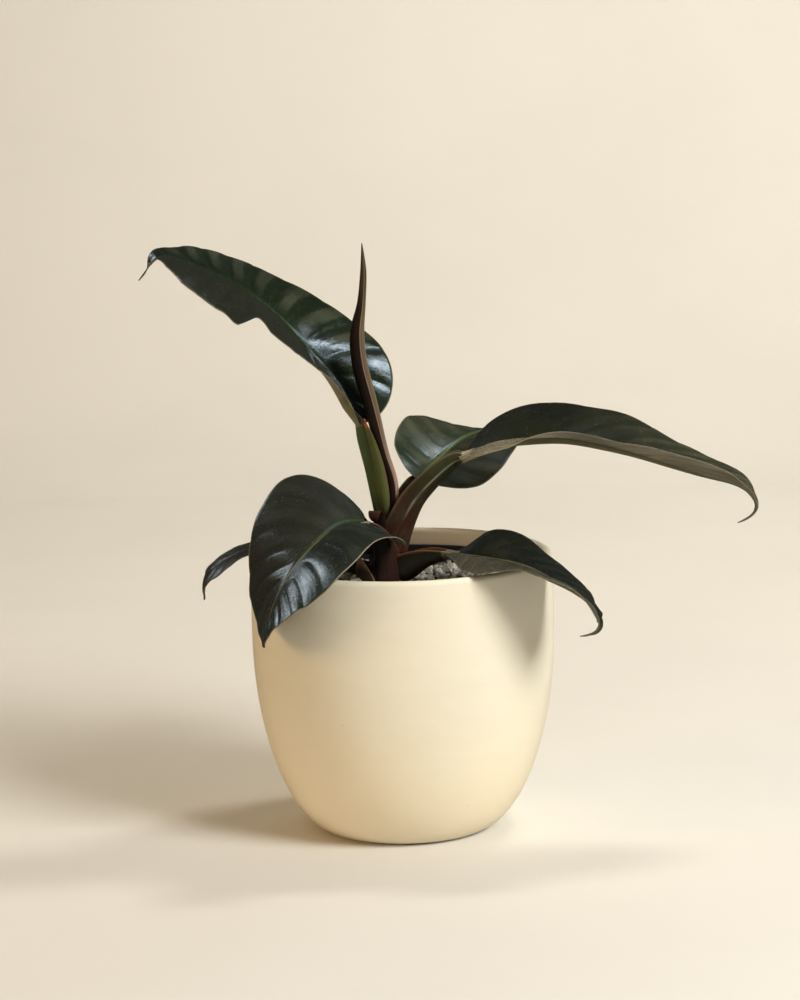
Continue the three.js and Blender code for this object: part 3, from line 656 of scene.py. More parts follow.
def makeGrit():
    random = np.random.default_rng(grit["seed"])
    sides, sunk = grit["sides"], grit["bedSunk"]
    rows = int(grit["radius"] / grit["ringStep"])
    angle = 2 * np.pi * np.arange(sides) / sides
    circle = np.stack([np.cos(angle), np.sin(angle)], -1) * grit["radius"]
    flat = np.vstack([circle * r / rows for r in range(1, rows + 1)])
    knocks = grit["roughness"] * random.normal(size=len(flat))
    top = np.column_stack([flat, gritHeight(flat[:, 0], flat[:, 1]) - sunk + knocks])
    low = np.column_stack([circle, np.full(sides, grit["under"])])
    points = [np.vstack([top, low])]
    count = len(points[0])
    faces = tubeFaces(rows, sides).tolist() + tubeFaces(2, sides, (rows - 1) * sides).tolist()
    points.append(np.array([[0, 0, gritHeight(0, 0) - sunk], [0, 0, grit["under"]]]))
    faces += [(count, k, (k + 1) % sides) for k in range(sides)]
    faces += [(count + 1, rows * sides + (k + 1) % sides, rows * sides + k) for k in range(sides)]
    # the bed takes the dark colour: painted shade in the gaps between the grains
    tones = [np.zeros(count + 2)]
    lump, lumpFaces = lumpShape()
    steps = np.arange(-grit["radius"], grit["radius"], grit["spacing"])
    gx, gy = np.meshgrid(steps, steps)
    centres = np.stack([gx.ravel(), gy.ravel()], -1)
    centres = centres + random.uniform(-grit["jitter"], grit["jitter"], (gx.size, 2))
    sizes = random.uniform(grit["smallest"], grit["largest"], len(centres))
    extra = random.uniform(-grit["radius"], grit["radius"], (grit["large"], 2))
    centres = np.vstack([centres, extra])
    sizes = np.concatenate([sizes, random.uniform(*grit["largeSizes"], grit["large"])])
    keep = np.hypot(centres[:, 0], centres[:, 1]) < grit["radius"] - 0.6 * sizes
    for x, y, radius in grit["stalks"]:
        keep &= np.hypot(centres[:, 0] - x, centres[:, 1] - y) > radius + 0.35 * sizes
    centres, sizes = centres[keep], sizes[keep]
    turns = randomTurns(random, len(centres))
    stretch = random.uniform(0.7, 1.15, (len(centres), 1, 3)) * sizes[:, None, None]
    rough = 1 + 0.16 * random.normal(size=(len(centres), len(lump), 1))
    grains = np.einsum("nij,nkj->nki", turns, lump[None] * rough * stretch)
    rise = random.uniform(0, 1, len(centres)) ** 1.6 * grit["grainRise"]
    height = gritHeight(centres[:, 0], centres[:, 1]) - grit["grainSunk"] + rise
    grains += np.column_stack([centres, height])[:, None]
    grainFaces = lumpFaces[None] + (count + 2 + len(lump) * np.arange(len(centres)))[:, None, None]
    points.append(grains.reshape(-1, 3))
    faces += grainFaces.reshape(-1, 3).tolist()
    tones.append(np.repeat(np.clip(random.normal(0.6, 0.3, len(centres)), 0.08, 1), len(lump)))
    piece = makePiece("pumice_grit", np.vstack(points), faces)
    piece.data.polygons.foreach_set("use_smooth", np.zeros(len(piece.data.polygons), bool))
    addValues(piece, "grainTone", np.concatenate(tones))
    placePiece(piece, [gritMaterial()], "grit", "grit")


# Leaf blades

# Place along the midrib, reach as a share of the half width, and forward lean of the side veins
bladeOutline = [
    (0.0, 0.45, -68),
    (0.05, 0.74, -44),
    (0.13, 0.96, -24),
    (0.27, 1.04, -4),
    (0.45, 0.98, 14),
    (0.62, 0.8, 26),
    (0.78, 0.52, 36),
    (0.9, 0.25, 43),
    (0.97, 0.09, 48),
    (1.0, 0.0, 50),
]

blade = {
    "rows": 190,
    "steps": 34,
    "crowding": 1.3,
    "thickness": 0.62,
    "marginThickness": 0.4,
    "lobeLength": 0.05,
    "smoothing": 0.022,
    "veins": 11,
    "veinLean": 0.085,
    "groove": 0.5,
    "grooveWidth": 1.1,
    "ribWidth": 4.2,
}


def smoothedRows(rows, t):  # the rows' curve with its small knocks taken out
    fine = np.linspace(-0.2, 1.2, 561)
    inside = along(rows, np.clip(fine, 0, 1))
    slopeLow = (along(rows, np.array([0.02])) - along(rows, np.array([0.0]))) / 0.02
    slopeHigh = (along(rows, np.array([1.0])) - along(rows, np.array([0.98]))) / 0.02
    inside += np.minimum(fine, 0)[:, None] * slopeLow + np.maximum(fine - 1, 0)[:, None] * slopeHigh
    step = fine[1] - fine[0]
    reach = int(3 * blade["smoothing"] / step)
    weights = np.exp(-0.5 * (np.arange(-reach, reach + 1) * step / blade["smoothing"]) ** 2)
    weights /= weights.sum()
    smooth = np.stack([np.convolve(column, weights, mode="same") for column in inside.T], axis=-1)
    return np.stack([np.interp(t, fine, column) for column in smooth.T], axis=-1)


def midribRows(leaf, u):  # the smoothed rows with the tip bent round into its hook
    rows = smoothedRows(leaf["blade"], u)
    bend = np.sin(np.pi * np.clip((u - 0.86) / 0.14, 0, 1.1))
    rows[:, :3] += bend[:, None] * np.array(leaf.get("hook", (0, 0, 0)), float)
    return rows


def bladeFrames(leaf, u):
    step = 0.01
    at = midribRows(leaf, u)
    ahead, behind = midribRows(leaf, u + step), midribRows(leaf, u - step)
    forward = unit(ahead[:, :3] - behind[:, :3])
    angle = math.radians(leaf["heading"])
    level = np.array([math.sin(angle), -math.cos(angle), 0.0])
    side = unit(level - (forward @ level)[:, None] * forward)
    return at[:, :3], forward, side, np.cross(side, forward), at[:, 3:]


def bladeSurface(leaf, u, v):  # points of the middle surface, rows along the midrib by steps across
    at, forward, side, up, shape = bladeFrames(leaf, u)
    share, sweep = alongUneven(bladeOutline, u)[:, 1:].T
    lobe = 1 + (leaf["lobe"] - 1) * np.exp(-u / blade["lobeLength"])
    sign, size = np.sign(v)[None, :], np.abs(v)[None, :]
    lift = np.radians(np.where(sign < 0, shape[:, 0:1], shape[:, 3:4]))
    curl = np.radians(np.where(sign < 0, shape[:, 1:2], shape[:, 4:5]))
    own = np.where(sign < 0, shape[:, 2:3], shape[:, 5:6])
    for half, place, depth, before, after in leaf.get("nicks", []):
        away = u - place
        dent = depth * np.exp(-((away / np.where(away < 0, before, after)) ** 2))
        own = own * (1 - np.where(sign == half, dent[:, None], 0.0))
    reach = leaf["halfWidth"] * (np.maximum(share, 0) * lobe)[:, None] * own
    outward = (np.sin(lift + curl * size) - np.sin(lift)) / curl
    upward = (np.cos(lift) - np.cos(lift + curl * size)) / curl
    lean = np.radians(sweep)[:, None]
    across = reach * np.cos(lean)
    wave = np.sin(leaf["ripples"] * 2 * np.pi * u[:, None] + sign * 1.3)
    fade = np.minimum(1, 4 * (1 - u))[:, None]
    small = 0.18 * np.sin(37 * u[:, None] + 2 * sign) + 0.12 * np.sin(61 * u[:, None] + 4 * sign)
    ripple = (leaf["ripple"] * size**2 * wave + small * size**4) * fade
    points = at[:, None] + forward[:, None] * (reach * np.sin(lean) * size)[..., None]
    points = points + side[:, None] * (sign * across * outward)[..., None]
    points = points + up[:, None] * (across * upward + ripple)[..., None]
    return points, reach * size, reach * (1 - size)


def surfaceNormals(points):
    alongU, alongV = np.gradient(points, axis=0), np.gradient(points, axis=1)
    return unit(np.cross(alongV, alongU))


def makeBlade(leaf):
    n, steps = blade["rows"], blade["steps"]
    t = np.linspace(0, 1, n)
    u = 0.45 * t + 0.275 * (1 - np.cos(np.pi * t))
    u[-1] = 0.9985
    share = np.linspace(-1, 1, 2 * steps + 1)
    v = np.sign(share) * np.abs(share) ** blade["crowding"]
    points, fromRib, fromEdge = bladeSurface(leaf, u, v)
    normals = surfaceNormals(points)
    size = np.abs(v)[None, :]
    side = np.sign(v)[None, :]
    lean = leaf.get("veinLean", blade["veinLean"])
    veins = leaf.get("veins", blade["veins"])
    phase = veins * (u[:, None] ** 0.92 - lean * size**1.6) + 0.32 * smoothStep(size, 0, 0.25) * (side < 0)
    slot = np.abs(2 * (phase - np.floor(phase)) - 1)
    pillow = 1 - slot**3.2
    fade = smoothStep(size, 0.03, 0.3) * (1 - 0.55 * smoothStep(size, 0.7, 1.0))
    fade = fade * (1 - smoothStep(u, 0.8, 0.97))[:, None] * smoothStep(u, 0.0, 0.08)[:, None]
    relief = leaf["pillow"] * fade * (pillow - 0.5)
    fine = np.abs(2 * ((4 * phase) - np.floor(4 * phase)) - 1)
    relief = relief + 0.07 * leaf["pillow"] * fade * (1 - fine**2)
    taper = (1 - smoothStep(u, 0.72, 0.98))[:, None]
    groove = leaf.get("groove", blade["groove"]) * taper
    relief = relief - groove * np.exp(-((fromRib / blade["grooveWidth"]) ** 2))
    thick = blade["thickness"] + (blade["marginThickness"] - blade["thickness"]) * size**3
    top = points + normals * (relief + thick / 2)[..., None]
    offRib = 1 - np.exp(-((fromRib / blade["ribWidth"]) ** 2))
    under = points + normals * (relief * offRib - thick / 2)[..., None]
    outward = unit(points[:, -1] - points[:, -2])
    outwardLeft = unit(points[:, 0] - points[:, 1])
    bulge = 0.5 * blade["marginThickness"]
    rightEdge = (points[:, -1] + normals[:, -1] * relief[:, -1:] + outward * bulge)[:, None]
    leftEdge = (points[:, 0] + normals[:, 0] * relief[:, :1] + outwardLeft * bulge)[:, None]
    loops = np.concatenate([top, rightEdge, under[:, ::-1], leftEdge], axis=1)
    count = loops.shape[1]
    faces = tubeFaces(n, count).tolist()
    across = 2 * steps + 1
    first = [(k + 1, k, 2 * across - k, 2 * across - k - 1) for k in range(across - 1)]
    first += [(across, across - 1, across + 1), (0, count - 1, 2 * across)]
    last = (n - 1) * count
    faces += first
    faces += [tuple(last + i for i in f[::-1]) for f in first]
    middle = np.zeros((n, 1))
    ribs = np.concatenate([fromRib, fromRib[:, -1:], fromRib[:, ::-1], fromRib[:, :1]], axis=1)
    edges = np.concatenate([fromEdge, middle, fromEdge[:, ::-1], middle], axis=1)
    phases = np.concatenate([phase, phase[:, -1:], phase[:, ::-1], phase[:, :1]], axis=1)
    sides = np.concatenate([np.ones((n, across)), middle + 0.5, np.zeros((n, across)), middle + 0.5], axis=1)
    places = np.repeat(u[:, None], count, axis=1)
    carried = np.stack([phases, ribs, edges], axis=-1).reshape(-1, 3)
    shares = np.repeat(np.concatenate([v, [1], v[::-1], [-1]])[None, :], n, axis=0)
    return loops.reshape(-1, 3), faces, carried, sides.ravel(), places.ravel(), shares.ravel()


# Leaf stalks, each with the midrib that it runs on into

stalk = {
    "rings": 64,
    "ribRings": 70,
    "wing": 1.1,
    "ribStart": 0.03,
    "ribEnd": 0.93,
    "ribSunk": 0.2,
    "arc": 26,
    "channel": 17,
}


def stalkSection(width, depth, groove):  # side and up of each point, and how far it is on a wing
    half, low, high = width / 2, -depth / 2, depth / 2
    shoulder = half - np.minimum(0.16 * width, stalk["wing"])
    floor = high - np.maximum(groove * depth, 0)
    angle = np.radians(np.linspace(180, 360, stalk["arc"]))[None, :]
    rise = (high - low)[:, None] * np.maximum(1 + np.sin(angle), 0) ** 1.1
    outerSide = half[:, None] * np.cos(angle)
    outerUp = np.minimum(low[:, None] + rise, high[:, None])
    share = np.linspace(1, -1, stalk["channel"])[None, :]
    bank = np.abs(share) ** 2.4
    innerSide = shoulder[:, None] * share
    innerUp = floor[:, None] + (high - floor)[:, None] * bank
    sides = np.concatenate([outerSide, innerSide], axis=1)
    ups = np.concatenate([outerUp, innerUp], axis=1)
    wing = smoothStep((ups - low[:, None]) / depth[:, None], 0.86, 1.0) * np.ones_like(sides)
    wing = wing * smoothStep(np.abs(sides) / half[:, None], 0.55, 0.85)
    return sides, ups, wing


def makeStalk(leaf):
    t = np.linspace(0, 1, stalk["rings"])
    turn = leaf.get("stalkHeading", leaf["heading"]) - leaf["heading"]
    heading = leaf["heading"] + turn * (1 - t) ** 1.3
    at, forward, side, up = frameAlong(leaf["stalk"], t, heading)
    width, depth, groove = along(leaf["stalk"], t)[:, 3:].T
    s = np.linspace(0, 1, stalk["ribRings"])[1:]
    place = stalk["ribStart"] + (stalk["ribEnd"] - stalk["ribStart"]) * s
    ribAt, ribForward, ribSide, ribUp, shape = bladeFrames(leaf, place)
    endWidth, endDepth = leaf["stalk"][-1][3:5]
    thin = (1 - s) ** 1.15
    ribWidth = endWidth * thin * 0.8 + 0.7
    ribDepth = endDepth * thin * 0.7 + 0.7
    droop = np.maximum(0, -np.minimum(shape[:, 0], shape[:, 3]))
    sink = ribDepth / 2 - stalk["ribSunk"] + 0.5 * ribWidth * np.sin(np.radians(droop))
    ribAt = ribAt - ribUp * sink[:, None]
    at, side, up = np.vstack([at, ribAt]), np.vstack([side, ribSide]), np.vstack([up, ribUp])
    width, depth = np.concatenate([width, ribWidth]), np.concatenate([depth, ribDepth])
    groove = np.concatenate([groove, np.full(len(s), 0.02)])
    sides, ups, wing = stalkSection(width, depth, groove)
    points = at[:, None] + side[:, None] * sides[..., None] + up[:, None] * ups[..., None]
    count = points.shape[1]
    faces = closedTube(len(at), count)
    length = np.concatenate([[0], np.cumsum(np.linalg.norm(np.diff(at, axis=0), axis=1))])
    lengths = np.repeat(length[:, None], count, axis=1)
    place = np.concatenate([t, 1 + s])
    carried = np.stack([lengths, sides / width[:, None] * 2, wing], axis=-1).reshape(-1, 3)
    return points.reshape(-1, 3), faces, carried, np.repeat(place, count)


def bladeTop(tree, look, veins, tone, place, dust):  # colour of the upper side
    across = attribute(tree, "leafAcross")
    # stripes between the veins: partly the leaf's own paler tone, partly painted sheen
    reach = times(tree, between(tree, place, *look["stripeRise"]), between(tree, place, *look["stripeFall"]))
    outer = between(tree, times(tree, across, look["stripeSide"]), -0.05, 0.55, look["stripeWeak"], 1.0)
    reach = times(tree, reach, times(tree, outer, between(tree, tone, 0.0, 0.8, 0.45, 1.0)))
    paleStripeAndSheen = between(tree, veins["StripeAndSheen"], 0.0, 1.0, look["stripeFill"], 1.0)
    # one half of the blade is painted paler: partly its own tone, partly painted sheen
    nearHalfToneAndSheen = between(tree, times(tree, across, look["nearSide"]), 0.0, 0.12)
    nearHalfToneAndSheen = times(tree, nearHalfToneAndSheen, between(tree, veins["Streak"], 0.7, 0.3, 0.45, 1.0))
    nearHalfToneAndSheen = times(tree, nearHalfToneAndSheen, between(tree, place, *look["nearFall"]))
    rib = times(tree, veins["Rib"], between(tree, place, 0.75, 0.25))
    return layered(
        tree, look["top"],
        (tone, look["topTint"]),
        (between(tree, veins["Streak"], 0.42, 0.72, 0.0, 0.55), look["streak"]),
        (times(tree, veins["Vein"], look["veinStrength"]), look["vein"]),
        (times(tree, times(tree, paleStripeAndSheen, reach), look["stripeStrength"]), look["paleStripeAndSheen"]),
        (times(tree, nearHalfToneAndSheen, look["nearStrength"]), look["nearHalfToneAndSheen"]),
        (times(tree, rib, look["ribStrength"]), look["rib"]),
        (dust, look["dustColour"]))


def bladeUnder(tree, look, veins, tone, place):  # colour of the underside
    return layered(
        tree, look["under"],
        (tone, look["underTint"]),
        (between(tree, veins["Streak"], 0.4, 0.68, 0.0, 0.8), look["underStreak"]),
        (times(tree, veins["Vein"], 0.5), look["underVein"]),
        (between(tree, place, 0.4, 0.12, 0.0, 0.85), look["underBase"]))


def bladeMaterial(name, look):
    material, tree, shader = newMaterial(name, **{
        "Specular IOR Level": look["gloss"],
        "Specular Tint": (0.84, 0.93, 1.0, 1),
        "Sheen Weight": look["bloom"],
        "Sheen Roughness": 0.45,
        "Sheen Tint": (0.8, 0.82, 0.85, 1),
    })
    side, place = attribute(tree, "leafSide"), attribute(tree, "leafAlong")
    veins = useGroup(tree, veinGroup, RibWidth=look["ribWidth"])
    tone = useGroup(tree, patchGroup, Scale=look["patchScale"])["Tone"]
    dust = useGroup(tree, dustGroup, Amount=look["dust"])["Mask"]
    tip = between(tree, place, 0.86, 0.96)
    colour = layered(
        tree, bladeUnder(tree, look, veins, tone, place),
        (side, bladeTop(tree, look, veins, tone, place, dust)),
        (times(tree, veins["Edge"], look["edgeStrength"]), look["edge"]),
        (times(tree, tip, 0.8), look["tip"]))
    spot = objectPlace(tree)
    smooth, dull = look["rough"] - 0.06, look["rough"] + 0.1
    smear = between(tree, noise(tree, spot, 130.0, 5.0, 0.65), 0.3, 0.7, smooth, dull)
    satin = times(tree, between(tree, place, *look["satinFall"]), look["satin"])
    smear = plus(tree, smear, plus(tree, satin, times(tree, tip, 0.35)))
    sides = {0: side, 2: look["underRough"], 3: smear}
    rough = addNode(tree, "ShaderNodeMix", {"data_type": "FLOAT"}, sides).outputs[0]
    paint(tree, shader, colour, plus(tree, rough, times(tree, dust, 0.3)))
    inputs = {"Vector": spot, "Scale": 900.0}
    cells = addNode(tree, "ShaderNodeTexVoronoi", {"feature": "DISTANCE_TO_EDGE"}, inputs).outputs[0]
    skin = plus(tree, times(tree, cells, 0.5), noise(tree, spot, 520.0, 3.0))
    bumpInto(tree, shader, plus(tree, skin, times(tree, veins["Streak"], 2.4)), look["skin"], 0.0005)
    return material


def stalkMaterial(name, look):
    material, tree, shader = newMaterial(name, **{
        "Specular IOR Level": 0.5,
        "Specular Tint": (0.9, 0.95, 1.0, 1),
    })
    length, across, wing = splitVector(tree, attribute(tree, "stalkPlace", "Vector"))[:3]
    place = attribute(tree, "leafAlong")
    line = noise(tree, flatVector(tree, across, 4.5, length, 0.035), 2.2, 5.0, 0.6)
    tone = useGroup(tree, patchGroup, Scale=70.0)["Tone"]
    # painted highlight: a thin pale glint line lengthwise along the stalk, at the across place given by
    # shine
    away = calc(tree, "ABSOLUTE", calc(tree, "SUBTRACT", across, look["shine"]))
    shine = times(tree, between(tree, away, 0.055, 0.01), between(tree, place, 0.2, 0.45))
    shine = times(tree, shine, between(tree, line, 0.35, 0.6, 0.3, 1.0))
    joint = times(tree, between(tree, place, 0.94, 0.985), between(tree, place, 1.04, 1.0))
    colour = layered(
        tree, look["low"],
        (between(tree, place, look["turnLow"], look["turnHigh"]), look["high"]),
        (between(tree, line, 0.4, 0.66, 0.0, 0.7), look["line"]),
        (times(tree, tone, 0.35), look["tint"]),
        (times(tree, wing, look["wingStrength"]), look["wing"]),
        (times(tree, shine, look["paintedGlintStrength"]), look["paintedGlintColour"]),
        (times(tree, joint, look["joint"]), look["jointColour"]),
        (between(tree, place, 1.0, 1.06), look["rib"]))
    paint(tree, shader, colour, between(tree, line, 0.3, 0.7, 0.3, 0.48))
    fine = noise(tree, objectPlace(tree), 600.0, 3.0)
    bumpInto(tree, shader, plus(tree, times(tree, line, 2.0), times(tree, fine, 0.5)), 0.25, 0.0005)
    return material


# Finish of the blades and stalks; each leaf below changes what is its own
plainLook = {
    "top": (0.005, 0.007, 0.004),
    "topTint": (0.009, 0.011, 0.0065),
    "streak": (0.014, 0.016, 0.01),
    "vein": (0.018, 0.026, 0.012),
    "veinStrength": 0.35,
    "under": (0.085, 0.075, 0.047),
    "underTint": (0.14, 0.12, 0.075),
    "underStreak": (0.17, 0.15, 0.1),
    "underVein": (0.06, 0.05, 0.03),
    "underBase": (0.17, 0.15, 0.1),
    "rib": (0.03, 0.05, 0.016),
    "ribWidth": 1.2,
    "ribStrength": 0.4,
    # stripes between the veins: partly own tone, partly painted sheen
    "paleStripeAndSheen": (0.05, 0.052, 0.033),
    "stripeStrength": 0.7,
    "stripeFill": 0.0,
    "stripeRise": (0.15, 0.5),
    "stripeFall": (1.0, 0.8),
    "stripeSide": -1,
    "stripeWeak": 0.5,
    # paler half of the blade: partly its own tone, partly painted sheen
    "nearFall": (1.5, 1.2),
    "nearHalfToneAndSheen": (0.03, 0.029, 0.02),
    "nearSide": 1,
    "nearStrength": 0.5,
    "tip": (0.07, 0.06, 0.033),
    "satin": 0.0,
    "satinFall": (0.5, 0.1),
    "edge": (0.2, 0.18, 0.12),
    "edgeStrength": 0.45,
    "dust": 0.5,
    "dustColour": (0.42, 0.42, 0.38),
    "gloss": 0.5,
    "bloom": 0.01,
    "rough": 0.2,
    "underRough": 0.55,
    "skin": 0.14,
    "patchScale": 26.0,
}
plainStalk = {
    "low": (0.026, 0.01, 0.006),
    "high": (0.022, 0.028, 0.009),
    "line": (0.04, 0.036, 0.016),
    "tint": (0.035, 0.012, 0.008),
    "wing": (0.09, 0.035, 0.025),
    "wingStrength": 0.6,
    "rib": (0.13, 0.125, 0.06),
    "turnLow": 0.2,
    "turnHigh": 0.7,
    "joint": 0.6,
    "jointColour": (0.34, 0.3, 0.2),
    # painted highlight: place, colour and strength of a pale glint line along the stalk
    "shine": 0.72,
    "paintedGlintColour": (0.34, 0.32, 0.27),
    "paintedGlintStrength": 0.0,
}

